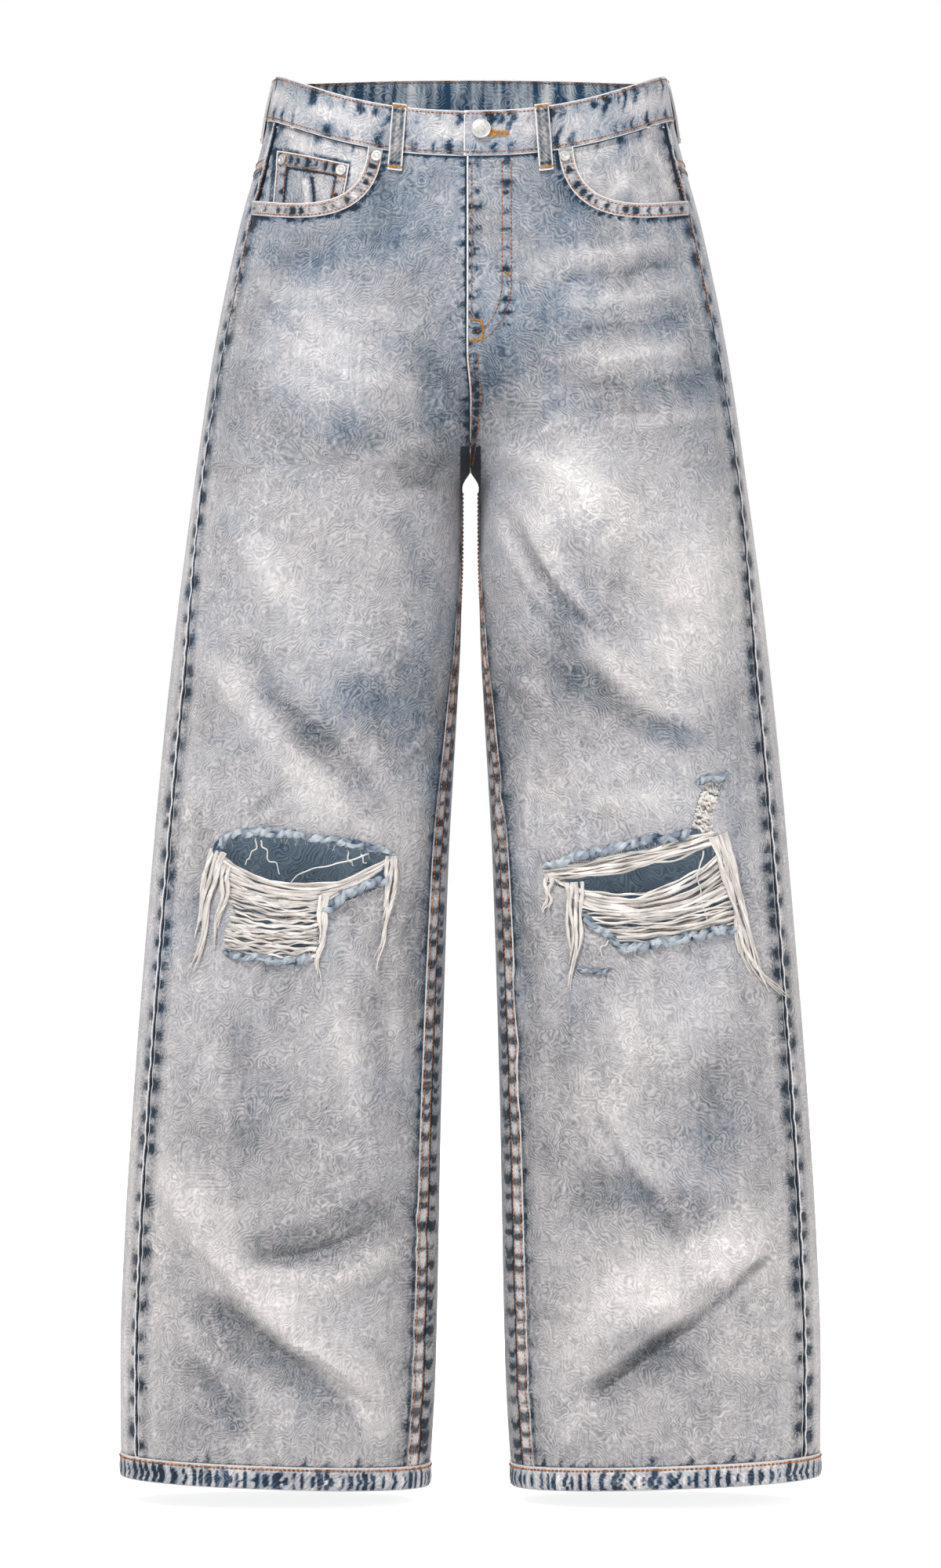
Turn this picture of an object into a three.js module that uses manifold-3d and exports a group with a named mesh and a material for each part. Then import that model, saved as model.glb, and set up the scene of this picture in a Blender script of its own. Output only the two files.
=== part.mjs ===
// Wide-leg ripped jeans, filled out and hanging from the waist: a hollow garment of thin cloth walls.
// Millimetres, +Z up, the front faces -Y, and the wearer's left leg is on the +X side.
// The origin is the centre of the waist opening, level with the waistband's top edge at the hips' sides.
import * as THREE from "three";
import { mergeVertices } from "three/addons/utils/BufferGeometryUtils.js";
import Module from "manifold-3d";

const wasm = await Module();
wasm.setup();

// ---------------------------------------------------------------- driving dimensions
const CLOTH = 1.4; // one layer of heavy denim
const GAP = 0.3; // clearance at every seam
const LIFT = 0.55; // clearance under a piece laid on a panel
const LAYER = 1.1; // a thinner piece sewn on the panels
const WAISTBAND = 35; // height of the waistband
const HEM = -1090; // the hem's lowest edge, at the middle of a leg
const HEM_BAND = 18; // height of the folded hem
const CROTCH = -306; // where the rise and the inseams meet
const MERGED = -120; // above this height both halves lie on one oval
const FRONT_DIP = -36; // how far the waist's edge dips at the middle of the front
const BACK_RISE = 11; // and rises at the middle of the back
const HEM_CANT = 4; // the outer side of each hem sits this much higher
const FLY_EDGE = -3; // the fly's edge, just past the middle line
const FLY_END = -214; // lower end of the fly
const FLY_RAISE = 1.4; // the fly stands proud by its hidden layers
const FLY_WIDTH = 31; // width of the fly's facing
const ROUNDNESS = 2.3; // exponent of the sections: 2 is an ellipse, more is squarer
const LOOP_WIDTH = 11;
const LOOP_ENDS = [1.5, -50]; // section heights of a belt loop's upper and lower end
const BUTTON_RADIUS = 7.4;
const RIVET_RADIUS = 4.1;

// Half-widths and depths of the body and the legs, as [height, value], from the hem up.
const OUTER_SIDE = [
  [-1090, 272], [-1000, 272.5], [-900, 269], [-790, 262], [-670, 252.5], [-550, 242],
  [-430, 229.5], [-306, 213.5], [-215, 200], [-120, 180.5], [-38, 158.5], [12, 149],
];
const LEG_INNER_SIDE = [
  [-1090, 32], [-1000, 27], [-790, 22.5], [-610, 17], [-500, 11], [-430, 7.5], [-360, 6.5],
  [-318, 6.5], [-306, 0],
];
const FRONT_FACE = [
  [-1090, -72], [-900, -75], [-700, -80], [-550, -85], [-430, -90], [-306, -98], [-215, -110],
  [-120, -112], [-38, -103], [12, -97],
];
const BACK_FACE = [
  [-1090, 76], [-900, 78], [-700, 80], [-550, 85], [-430, 97], [-306, 114], [-215, 125],
  [-120, 119], [-38, 104], [12, 97],
];
// The seams' angles round each section, in degrees: 0 is the outer side and -90 the front.
const OUTSEAM_ANGLE = [[-1090, -30], [-500, -30], [-300, -23], [-120, -19], [12, -18]];
const INSEAM_ANGLE = [[-1090, -155.5], [-610, -160.5], [-430, -171], [-370, -178], [-306, -180]];

// The largest folds of each leg: a line through three [distance from the middle, height] points,
// with the fold's height (negative for a trough), half-width and face.
const FOLDS = {
  right: [
    { line: [[238, -849], [160, -952], [70, -1026]], height: 7, width: 17, face: "front" },
    { line: [[195, -937], [140, -980], [78, -1015]], height: -6, width: 13, face: "front" },
    { line: [[179, -910], [118, -906], [54, -874]], height: -5, width: 15, face: "front" },
    { line: [[196, -450], [150, -518], [95, -590]], height: 5, width: 18, face: "front" },
    { line: [[172, -436], [128, -492], [72, -566]], height: -5, width: 16, face: "front" },
    { line: [[60, -690], [120, -760], [200, -800]], height: 5, width: 18, face: "back" },
    { line: [[60, -360], [120, -400], [190, -400]], height: -5, width: 15, face: "back" },
  ],
  left: [
    { line: [[240, -896], [155, -943], [72, -1004]], height: 7, width: 17, face: "front" },
    { line: [[172, -958], [125, -985], [86, -1022]], height: -6, width: 13, face: "front" },
    { line: [[77, -864], [140, -866], [193, -899]], height: -5, width: 15, face: "front" },
    { line: [[27, -322], [74, -395], [162, -507]], height: 5, width: 16, face: "front" },
    { line: [[60, -465], [110, -490], [180, -525]], height: -4, width: 14, face: "front" },
    { line: [[60, -700], [130, -745], [210, -820]], height: 5, width: 18, face: "back" },
    { line: [[60, -355], [120, -390], [195, -410]], height: -5, width: 15, face: "back" },
  ],
};

// The ripped knees, in the front view, as [distance from the middle, height].
const RIPS = {
  right: {
    hole: [
      [194.6, -594.6], [179.6, -586.2], [152.6, -585], [119.6, -591], [89.6, -596], [59.7, -602],
      [57.9, -608], [65.7, -627], [95.6, -639], [114.8, -651], [118.4, -678], [152.6, -682],
      [185.6, -676], [187.4, -663], [179.6, -648], [188.6, -627], [197.6, -609],
    ],
    web: [
      [188.5, -606], [179.5, -619.5], [155.5, -634], [128.5, -635.5], [95.5, -626], [72, -611],
      [68, -624.5], [96.5, -637], [116.5, -649], [120.3, -676], [152.6, -680.2], [183.8, -674],
      [185.4, -663], [177.5, -648], [186.8, -627],
    ],
    fringes: [
      { top: [192, -603], tip: [214, -696], width: [17, 5] },
      { top: [116, -642], tip: [118, -702], width: [13, 4] },
      { top: [61, -612], tip: [68, -692], width: [12, 4] },
    ],
  },
  left: {
    hole: [
      [57.9, -612], [96.2, -600], [138.2, -591], [168.2, -584], [170.6, -573], [175.4, -555],
      [189.2, -543], [193.4, -549], [186.2, -567], [182, -585], [187.4, -597], [201.2, -621],
      [204.2, -657], [168.2, -666], [115.4, -676], [105.2, -663], [87.2, -654], [83, -633],
      [62, -626],
    ],
    web: [
      [64, -617], [78, -621], [96, -633], [115, -641], [153, -636], [176, -623], [184, -601],
      [199.3, -622], [202.2, -655.5], [168, -664], [116.4, -673.8], [106.6, -661.4], [89, -652.6],
      [84.6, -631.6], [64, -624],
    ],
    fringes: [
      { top: [80, -628], tip: [75, -710], width: [14, 5] },
      { top: [196, -603], tip: [228, -712], width: [17, 6] },
    ],
  },
};

// The scooped hand pocket, as a Bezier curve in the front view, and the other patches' corners.
const SCOOP = [[77, -60], [78, -98], [100, -116], [167, -100]];
const POCKET_EDGE_WIDTH = 10;
const COIN_POCKET = { top: [[150, -61], [93, -76]], bottom: [[154, -116], [101, -118]] };
const BACK_POCKET = { inner: 32, outer: 150, top: -124, slope: 6, depth: 124, point: 20, taper: 8 };

// ---------------------------------------------------------------- shape of the worn cloth
const DEG = Math.PI / 180;
const clamp = (t, low = 0, high = 1) => Math.min(high, Math.max(low, t));
const smooth = (t) => clamp(t) ** 2 * (3 - 2 * clamp(t));
const mix = (a, b, t) => a + (b - a) * t;

// A smooth curve through [height, value] stations that never overshoots them.
function profile(stations) {
  const rise = stations.slice(1).map(([z, v], i) => (v - stations[i][1]) / (z - stations[i][0]));
  const slope = stations.map((_, i) => {
    const before = rise[Math.max(0, i - 1)];
    const after = rise[Math.min(rise.length - 1, i)];
    return before * after <= 0 ? 0 : (2 * before * after) / (before + after);
  });
  return (z) => {
    let i = 0;
    while (i < stations.length - 2 && z > stations[i + 1][0]) i += 1;
    const [z0, v0] = stations[i];
    const [z1, v1] = stations[i + 1];
    const span = z1 - z0;
    const t = clamp((z - z0) / span);
    const s = t * t * (3 - 2 * t);
    const tangents = slope[i] * (t - 2 * t * t + t ** 3) + slope[i + 1] * (t ** 3 - t * t);
    return mix(v0, v1, s) + span * tangents;
  };
}

const outerSide = profile(OUTER_SIDE);
const legInnerSide = profile(LEG_INNER_SIDE);
const frontFace = profile(FRONT_FACE);
const backFace = profile(BACK_FACE);
const outseamAngle = profile(OUTSEAM_ANGLE);
const inseamAngle = profile(INSEAM_ANGLE);

// The inner side of one half's section. Above the crotch it lies past the middle line, where the
// other half takes over, until both halves share one oval.
function innerSide(z) {
  if (z <= CROTCH) return legInnerSide(z);
  const t = clamp((z - CROTCH) / (MERGED - CROTCH));
  const merge = smooth(t) + 0.45 * (t - 2 * t * t + t ** 3);
  return -outerSide(z) * merge;
}

function section(z) {
  const outer = outerSide(z);
  const inner = innerSide(z);
  const front = frontFace(z);
  const back = backFace(z);
  return {
    x: (outer + inner) / 2,
    y: (front + back) / 2,
    halfWidth: (outer - inner) / 2,
    halfDepth: (back - front) / 2,
  };
}

// The distance of a point from a fold's line, and how far along the line it is, from 0 to 1.
function alongFold(line, x, z) {
  let best = { distance: Infinity, along: 0 };
  const steps = line.length - 1;
  for (let i = 0; i < steps; i += 1) {
    const [x0, z0] = line[i];
    const [x1, z1] = line[i + 1];
    const run = (x1 - x0) ** 2 + (z1 - z0) ** 2;
    const t = clamp(((x - x0) * (x1 - x0) + (z - z0) * (z1 - z0)) / run);
    const distance = Math.hypot(x - mix(x0, x1, t), z - mix(z0, z1, t));
    if (distance < best.distance) best = { distance, along: (i + t) / steps };
  }
  return best;
}

function foldHeight(side, face, x, z) {
  let height = 0;
  for (const fold of FOLDS[side]) {
    if (fold.face !== face) continue;
    const { distance, along } = alongFold(fold.line, x, z);
    const taper = smooth(along * 4) * smooth((1 - along) * 4);
    height += fold.height * taper * Math.exp(-((distance / fold.width) ** 2));
  }
  return height;
}

// A point of the cloth's outer face, on the +X side. The angle goes round the section.
function skin(side, angle, z) {
  const { x: middleX, y: middleY, halfWidth, halfDepth } = section(z);
  const c = Math.cos(angle);
  const s = Math.sin(angle);
  const across = Math.sign(c) * Math.abs(c) ** (2 / ROUNDNESS);
  const deep = Math.sign(s) * Math.abs(s) ** (2 / ROUNDNESS);
  const tilt = deep < 0 ? FRONT_DIP * (-deep) ** 2.4 : BACK_RISE * deep * deep;
  const cant = HEM_CANT * across * smooth((-800 - z) / 290);
  const point = new THREE.Vector3(
    middleX + halfWidth * across,
    middleY + halfDepth * deep,
    z + tilt * smooth((z + 260) / 222) + cant,
  );
  const away = new THREE.Vector3(across / halfWidth, deep / halfDepth, 0).normalize();
  const fold = foldHeight(side, deep < 0 ? "front" : "back", point.x, point.z);
  return point.addScaledVector(away, fold * smooth((Math.abs(deep) - 0.1) / 0.4));
}

// A point moved off the cloth's outer face along its normal, on its own side of the garment.
function cloth(side, angle, z, offset) {
  const point = skin(side, angle, z);
  const round = skin(side, angle + 0.01, z).sub(skin(side, angle - 0.01, z));
  const up = skin(side, angle, z + 0.8).sub(skin(side, angle, z - 0.8));
  point.addScaledVector(round.cross(up).normalize(), offset);
  if (side === "right") point.x = -point.x;
  return point;
}

// The angle at which a section reaches the distance x from the middle line.
function angleAt(x, z, face) {
  const { x: middleX, halfWidth } = section(z);
  const across = clamp((x - middleX) / halfWidth, -1, 1);
  const angle = Math.acos(Math.sign(across) * Math.abs(across) ** (ROUNDNESS / 2));
  return face === "front" ? -angle : angle;
}

// The angle and section height of the point that the front or back view shows at [x, z].
function place(side, face, x, z) {
  let row = z;
  for (let i = 0; i < 12; i += 1) row += z - skin(side, angleAt(x, row, face), row).z;
  return { angle: angleAt(x, row, face), row };
}

function clothAt(side, face, x, z, offset) {
  const { angle, row } = place(side, face, x, z);
  return cloth(side, angle, row, offset);
}

// ---------------------------------------------------------------- solids
const garment = new THREE.Group();
const denim = (color) => new THREE.MeshStandardMaterial({ color, roughness: 0.92, metalness: 0 });
const PALE_DENIM = denim(0xb4b6bb);
const SEAM_DENIM = denim(0x8f949c);
const DARK_DENIM = denim(0x60707f);
const RAW_THREAD = denim(0xe6dcd2);
const METAL = new THREE.MeshStandardMaterial({ color: 0xd8d6d4, roughness: 0.35, metalness: 1 });

function add(name, geometry, material) {
  const mesh = new THREE.Mesh(geometry, material);
  mesh.name = name;
  garment.add(mesh);
  return mesh;
}

function geometryOf(vertices, triangles) {
  const geometry = new THREE.BufferGeometry();
  geometry.setAttribute("position", new THREE.Float32BufferAttribute(vertices, 3));
  geometry.setIndex(triangles);
  return geometry;
}

// A closed wall between two sheets of points. at(u, v, sheet) gives a point for u and v from 0 to 1
// and sheet 0 (outer) or 1 (inner). A looped wall closes on itself along u.
function wall(us, vs, at, looped = false) {
  const columns = us.length;
  const rows = vs.length;
  const vertices = [];
  for (const sheet of [0, 1]) {
    for (const v of vs) for (const u of us) vertices.push(...at(u, v, sheet).toArray());
  }
  const index = (i, j, sheet) => sheet * columns * rows + j * columns + (i % columns);
  const triangles = [];
  const quad = (a, b, c, d) => triangles.push(a, b, c, a, c, d);
  const last = looped ? columns : columns - 1;
  for (let j = 0; j < rows - 1; j += 1) {
    for (let i = 0; i < last; i += 1) {
      quad(index(i, j, 0), index(i + 1, j, 0), index(i + 1, j + 1, 0), index(i, j + 1, 0));
      quad(index(i, j, 1), index(i, j + 1, 1), index(i + 1, j + 1, 1), index(i + 1, j, 1));
    }
  }
  for (let i = 0; i < last; i += 1) {
    quad(index(i, 0, 0), index(i, 0, 1), index(i + 1, 0, 1), index(i + 1, 0, 0));
    const j = rows - 1;
    quad(index(i, j, 0), index(i + 1, j, 0), index(i + 1, j, 1), index(i, j, 1));
  }
  for (let j = 0; !looped && j < rows - 1; j += 1) {
    quad(index(0, j, 0), index(0, j + 1, 0), index(0, j + 1, 1), index(0, j, 1));
    const i = columns - 1;
    quad(index(i, j, 0), index(i, j, 1), index(i, j + 1, 1), index(i, j + 1, 0));
  }
  return facingOut(vertices, triangles);
}

function facingOut(vertices, triangles) {
  const point = (i) => new THREE.Vector3().fromArray(vertices, 3 * i);
  let volume = 0;
  for (let i = 0; i < triangles.length; i += 3) {
    const [a, b, c] = triangles.slice(i, i + 3).map(point);
    volume += a.dot(b.cross(c));
  }
  return geometryOf(vertices, volume < 0 ? triangles.slice().reverse() : triangles);
}

const steps = (count) => Array.from({ length: count + 1 }, (_, i) => i / count);

function solidOf(geometry) {
  const bare = new THREE.BufferGeometry();
  bare.setAttribute("position", geometry.getAttribute("position"));
  bare.setIndex(geometry.index);
  const merged = mergeVertices(bare, 1e-4);
  return new wasm.Manifold(
    new wasm.Mesh({
      numProp: 3,
      vertProperties: merged.attributes.position.array,
      triVerts: new Uint32Array(merged.index.array),
    }),
  );
}

function geometryFrom(solid) {
  const { vertProperties, triVerts } = solid.getMesh();
  return geometryOf(Array.from(vertProperties), Array.from(triVerts));
}

// A block with the given outline in the front view, reaching through the front of the garment.
function block(side, outline) {
  const sign = side === "right" ? -1 : 1;
  const shape = new THREE.Shape(outline.map(([x, z]) => new THREE.Vector2(sign * x, z)));
  const geometry = new THREE.ExtrudeGeometry(shape, { depth: 300, bevelEnabled: false });
  geometry.rotateX(Math.PI / 2);
  geometry.translate(0, 50, 0);
  geometry.deleteAttribute("normal");
  geometry.deleteAttribute("uv");
  return solidOf(mergeVertices(geometry, 1e-4));
}

// ---------------------------------------------------------------- panels
const TOP_ROW = -WAISTBAND - 2 * GAP;
const BOTTOM_ROW = HEM + HEM_BAND + GAP;
const TORSO_ROWS = [TOP_ROW, -66, -98, -132, -168, -204, -236, -262, -283, -297, -304];
const CROTCH_ROWS = [CROTCH - 1, -312, -322, -345, -372];
const LEG_ROWS = [-402, -434, -466, -498, -530, -566, -610, -660, -710, -760, -805, -840, -868];
const LOWER_LEG_ROWS = [-894, -920, -946, -972, -998, -1023, -1048, BOTTOM_ROW];
const PANEL_ROWS = [...TORSO_ROWS, ...CROTCH_ROWS, ...LEG_ROWS, ...LOWER_LEG_ROWS];
const FRONT_COLUMNS = [0, 0.07, 0.15, 0.22, 0.33, 0.45, 0.57, 0.69, 0.8, 0.9, 1];
const BACK_COLUMNS = [0, 0.09, 0.21, 0.34, 0.47, 0.6, 0.74, 0.88, 1];

// The middle edge of a panel: the fly's edge, the centre seam, and then the inseam.
function middleAngle(side, face, z) {
  if (z > CROTCH) {
    const fly = face === "front" ? FLY_EDGE * smooth((z - FLY_END + 45) / 45) : 0;
    const edge = (side === "left" ? fly : -fly) + GAP / 2;
    return angleAt(edge, z, face);
  }
  const gapAngle = GAP / 2 / section(z).halfDepth;
  const front = inseamAngle(z) * DEG + gapAngle;
  return face === "front" ? front : 2 * Math.PI + front - 2 * gapAngle;
}

function sideAngle(face, z) {
  const gapAngle = GAP / 2 / section(z).halfDepth;
  return outseamAngle(z) * DEG + (face === "front" ? -gapAngle : gapAngle);
}

// The left front stands proud along the fly, over the layers behind it.
function flyRaise(side, face, x, z) {
  if (side !== "left" || face !== "front") return 0;
  return FLY_RAISE * smooth((FLY_WIDTH + 6 - x) / 12) * smooth((z - FLY_END + 12) / 24);
}

function panelPoint(side, face, t, z, offset) {
  const angle = mix(middleAngle(side, face, z), sideAngle(face, z), t);
  const lift = flyRaise(side, face, skin(side, angle, z).x, z);
  return cloth(side, angle, z, offset + lift);
}

// The back panel starts at the yoke's seam, which falls from the side to the centre seam.
const YOKE_SIDE = -72;
const YOKE_CENTRE = -104;
function backRow(row, t) {
  if (row < -240) return row;
  const top = mix(YOKE_CENTRE, YOKE_SIDE, t) - GAP;
  return mix(-240, top, (row + 240) / (TOP_ROW + 240));
}

function panel(side, face) {
  const rows = PANEL_ROWS;
  const last = rows.length - 1;
  const columns = face === "front" ? FRONT_COLUMNS : BACK_COLUMNS;
  const at = (t, v, sheet) => {
    const row = rows[Math.round(v * last)];
    const z = face === "front" ? row : backRow(row, t);
    return panelPoint(side, face, t, z, sheet ? -CLOTH : 0);
  };
  return wall(columns, steps(last), at);
}

function scoopLine(count) {
  const [a, b, c, d] = SCOOP.map(([x, z]) => new THREE.Vector2(x, z));
  return new THREE.CubicBezierCurve(a, b, c, d).getPoints(count);
}

function frontPanel(side) {
  const scoop = [
    [SCOOP[0][0], 40],
    ...scoopLine(8).map((p) => [p.x, p.y]),
    [210, -94],
    [210, 40],
  ];
  const cut = solidOf(panel(side, "front"))
    .subtract(block(side, scoop))
    .subtract(block(side, RIPS[side].hole));
  return geometryFrom(cut);
}

function yoke(side) {
  const at = (t, v, sheet) => {
    const z = mix(TOP_ROW, mix(YOKE_CENTRE, YOKE_SIDE, t), v);
    return panelPoint(side, "back", t, z, sheet ? -CLOTH : 0);
  };
  return wall(BACK_COLUMNS, steps(1), at);
}

// ---------------------------------------------------------------- pieces sewn on the panels
// A patch laid on a panel: outline(u, v) gives [x, z] in the front or back view.
function patch(side, face, across, down, outline, low, high) {
  const at = (u, v, sheet) => {
    const [x, z] = outline(u, v);
    const lift = flyRaise(side, face, x, z);
    return clothAt(side, face, x, z, (sheet ? low : high) + lift);
  };
  return wall(steps(across), steps(down), at);
}

const FACING_TOP = -3.8; // the pocket's facing lies this far under the panel's outer face
function pocketFacing(side) {
  const at = (u, v, sheet) => {
    const z = mix(TOP_ROW, -132, v);
    const angle = mix(angleAt(66, z, "front"), sideAngle("front", z), u);
    return cloth(side, angle, z, FACING_TOP - (sheet ? LAYER : 0));
  };
  return wall(steps(9), steps(3), at);
}

function coinPocket(side) {
  const { top, bottom } = COIN_POCKET;
  const outline = (u, v) => [0, 1].map((k) =>
    mix(mix(top[0][k], top[1][k], u), mix(bottom[0][k], bottom[1][k], u), v));
  const low = FACING_TOP + LIFT;
  return patch(side, "front", 6, 3, outline, low, low + 0.9);
}

function pocketEdge(side) {
  const line = scoopLine(14);
  const outline = (u, v) => {
    const i = Math.round(v * 14);
    const before = line[Math.max(0, i - 1)];
    const after = line[Math.min(14, i + 1)];
    const along = after.clone().sub(before).normalize();
    const distance = mix(0.5, POCKET_EDGE_WIDTH + 0.5, u);
    const point = line[i];
    return [point.x + along.y * distance, point.y - along.x * distance];
  };
  const clipped = (u, v) => pocketEdgeClip(outline(u, v));
  return patch(side, "front", 1, 14, clipped, LIFT, LIFT + LAYER);
}

// The edging stops just short of the waistband's seam and of the side seam.
function pocketEdgeClip([x, z]) {
  return [Math.min(x, 164.5), Math.min(z, -67.6 + (x - 66.6) * 0.3)];
}

function flyFacing() {
  const top = -72.8;
  const bottom = FLY_END + 2;
  const outline = (u, v) => {
    const turn = clamp((v - 0.75) / 0.25);
    const width = mix(4, FLY_WIDTH, Math.sqrt(1 - turn * turn));
    return [mix(FLY_EDGE + 0.8, width, u), mix(top, bottom, v)];
  };
  const at = (u, v, sheet) => {
    const depth = CLOTH + LIFT + (sheet ? LAYER : 0);
    return clothAt("left", "front", ...outline(u, v), -depth);
  };
  return wall(steps(3), steps(10), at);
}

function backPocket(side) {
  const { inner, outer, top, slope, depth, point, taper } = BACK_POCKET;
  const outline = (u, v) => {
    const left = mix(inner, inner + taper, v);
    const right = mix(outer, outer - taper, v);
    const length = depth + point * (1 - Math.abs(2 * u - 1));
    return [mix(left, right, u), top + slope * u - v * length];
  };
  return patch(side, "back", 8, 6, outline, LIFT, LIFT + LAYER);
}

// The angle a given distance along the cloth from another angle.
function stepAround(side, angle, z, distance) {
  const start = skin(side, angle, z);
  let low = 0;
  let high = 0.5;
  for (let i = 0; i < 30; i += 1) {
    const half = (low + high) / 2;
    const end = skin(side, angle + Math.sign(distance) * half, z);
    if (end.distanceTo(start) < Math.abs(distance)) low = half;
    else high = half;
  }
  return angle + Math.sign(distance) * low;
}

function beltLoop(side, centreAngle) {
  const at = (u, v, sheet) => {
    const z = mix(LOOP_ENDS[0], LOOP_ENDS[1], v);
    const angle = stepAround(side, centreAngle, z, (u - 0.5) * LOOP_WIDTH);
    const arch = 1.4 * Math.sin(Math.PI * v);
    return cloth(side, angle, z, BAND_OUT + LIFT + arch + (sheet ? 0 : 1.6));
  };
  return wall(steps(2), steps(6), at);
}

// ---------------------------------------------------------------- bands
const BAND_OUT = 0.8; // the waistband's outer face stands this much proud of the panels
const BAND_THICKNESS = 3;
const UNDERLAP = 22; // the buttoned end reaches this far under the top end

// A point of the oval above MERGED, where the angle runs right round from the left half.
function oval(angle, z, offset) {
  const turn = THREE.MathUtils.euclideanModulo(angle / DEG + 90, 360);
  if (turn <= 180) return cloth("left", (turn - 90) * DEG, z, offset);
  return cloth("right", (270 - turn) * DEG, z, offset);
}

function waistband() {
  const front = -90 * DEG;
  const angleOf = (x) => front + (angleAt(x, -17, "front") - front);
  const end = angleOf(FLY_EDGE - 2);
  const under = [UNDERLAP, UNDERLAP / 2, FLY_EDGE - 1].map((x) => ({ angle: angleOf(x), sunk: 1 }));
  const ramp = [-10, -18].map((x, i) => ({ angle: angleOf(x), sunk: 0.45 * (1 - i) }));
  const start = angleOf(-28);
  const round = steps(40).map((t) => ({ angle: start - t * (2 * Math.PI + start - end), sunk: 0 }));
  const columns = [...under, ...ramp, ...round];
  const at = (u, v, sheet) => {
    const { angle, sunk } = columns[Math.round(u * (columns.length - 1))];
    const thickness = mix(BAND_THICKNESS, 2, sunk);
    const outer = BAND_OUT - sunk * (BAND_THICKNESS + GAP);
    return oval(angle, mix(-WAISTBAND, 0, v), outer - (sheet ? thickness : 0));
  };
  return wall(steps(columns.length - 1), steps(1), at);
}

function hemBand(side) {
  const at = (u, v, sheet) =>
    cloth(side, u * 2 * Math.PI, mix(HEM, HEM + HEM_BAND, v), sheet ? -2.4 : 1);
  return wall(steps(32).slice(0, -1), steps(1), at, true);
}

// ---------------------------------------------------------------- rips
function ripWeb(side) {
  const xs = RIPS[side].web.map(([x]) => x);
  const zs = RIPS[side].web.map(([, z]) => z);
  const outline = (u, v) => [
    mix(Math.min(...xs) - 4, Math.max(...xs) + 4, u),
    mix(Math.max(...zs) + 4, Math.min(...zs) - 4, v),
  ];
  const sheet = patch(side, "front", 6, 3, outline, -1.2, 0);
  return geometryFrom(solidOf(sheet).intersect(block(side, RIPS[side].web)));
}

function fringe(side, { top, tip, width }) {
  const outline = (u, v) => {
    const half = mix(width[0], width[1], v) / 2;
    return [mix(top[0], tip[0], v) + mix(-half, half, u), mix(top[1], tip[1], v)];
  };
  return patch(side, "front", 2, 5, outline, 0.6, 3.2);
}

// ---------------------------------------------------------------- metal
// A turned piece set on the cloth at [x, z] in the front view, its foot at the given offset.
function stud(side, x, z, offset, profilePoints, segments = 12) {
  const geometry = new THREE.LatheGeometry(
    profilePoints.map(([r, h]) => new THREE.Vector2(r, h)),
    segments,
  );
  const foot = clothAt(side, "front", x, z, offset);
  const outward = clothAt(side, "front", x, z, offset + 1).sub(foot).normalize();
  const turn = new THREE.Quaternion().setFromUnitVectors(new THREE.Vector3(0, 1, 0), outward);
  return { geometry, foot, turn };
}

function addStud(name, { geometry, foot, turn }) {
  const mesh = add(name, geometry, METAL);
  mesh.position.copy(foot);
  mesh.quaternion.copy(turn);
}

const BUTTON_PROFILE = [
  [0, 0], [3.6, 0], [3.6, 0.9], [BUTTON_RADIUS, 1.1], [BUTTON_RADIUS, 2.2],
  [BUTTON_RADIUS - 0.7, 2.9], [BUTTON_RADIUS - 3.4, 3.4], [0, 3.6],
];
const RIVET_PROFILE = [
  [0, 0], [RIVET_RADIUS, 0], [RIVET_RADIUS, 0.5], [2.9, 1.2], [1.9, 1.1], [1.5, 0.8], [0, 0.8],
];

// ---------------------------------------------------------------- the garment
for (const side of ["right", "left"]) {
  add(`front_${side}`, frontPanel(side), PALE_DENIM);
  add(`back_${side}`, panel(side, "back"), PALE_DENIM);
  add(`yoke_${side}`, yoke(side), PALE_DENIM);
  add(`pocket_facing_${side}`, pocketFacing(side), PALE_DENIM);
  add(`pocket_edge_${side}`, pocketEdge(side), SEAM_DENIM);
  add(`back_pocket_${side}`, backPocket(side), PALE_DENIM);
  add(`hem_${side}`, hemBand(side), SEAM_DENIM);
  add(`rip_threads_${side}`, ripWeb(side), RAW_THREAD);
  RIPS[side].fringes.forEach((shape, i) => {
    add(`fringe_${side}_${i + 1}`, fringe(side, shape), RAW_THREAD);
  });
  add(`belt_loop_front_${side}`, beltLoop(side, angleAt(55, -20, "front")), SEAM_DENIM);
  add(`belt_loop_side_${side}`, beltLoop(side, 5 * DEG), SEAM_DENIM);
  addStud(`pocket_rivet_${side}`, stud(side, 71, -71, LIFT + LAYER + GAP, RIVET_PROFILE));
}
add("belt_loop_back", beltLoop("left", 90 * DEG), SEAM_DENIM);
add("coin_pocket", coinPocket("right"), PALE_DENIM);
add("fly_facing", flyFacing(), DARK_DENIM);
add("waistband", waistband(), PALE_DENIM);
const COIN_TOP = FACING_TOP + LIFT + 0.9 + GAP;
addStud("coin_rivet_outer", stud("right", 145, -69, COIN_TOP, RIVET_PROFILE));
addStud("coin_rivet_inner", stud("right", 99, -80.5, COIN_TOP, RIVET_PROFILE));
addStud("waist_button", stud("left", 8, -51, BAND_OUT + 0.5, BUTTON_PROFILE, 24));

export default garment;
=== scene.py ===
"""Wide-leg ripped jeans, filled out and hanging from the waist, in pale acid-washed denim.

Sizes are in millimetres, as a maker writes them, until a mesh is made: MM turns them into metres. The
wearer's left leg is on the +X side and the front faces -Y. Places on a leg are given for the left one, as
[distance from the middle line, height], and are mirrored for the right one.
"""

import logging
import math
from contextlib import contextmanager
from dataclasses import dataclass, field
from enum import Enum
from functools import partial
from typing import Callable, Iterable, Iterator, Sequence

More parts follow.
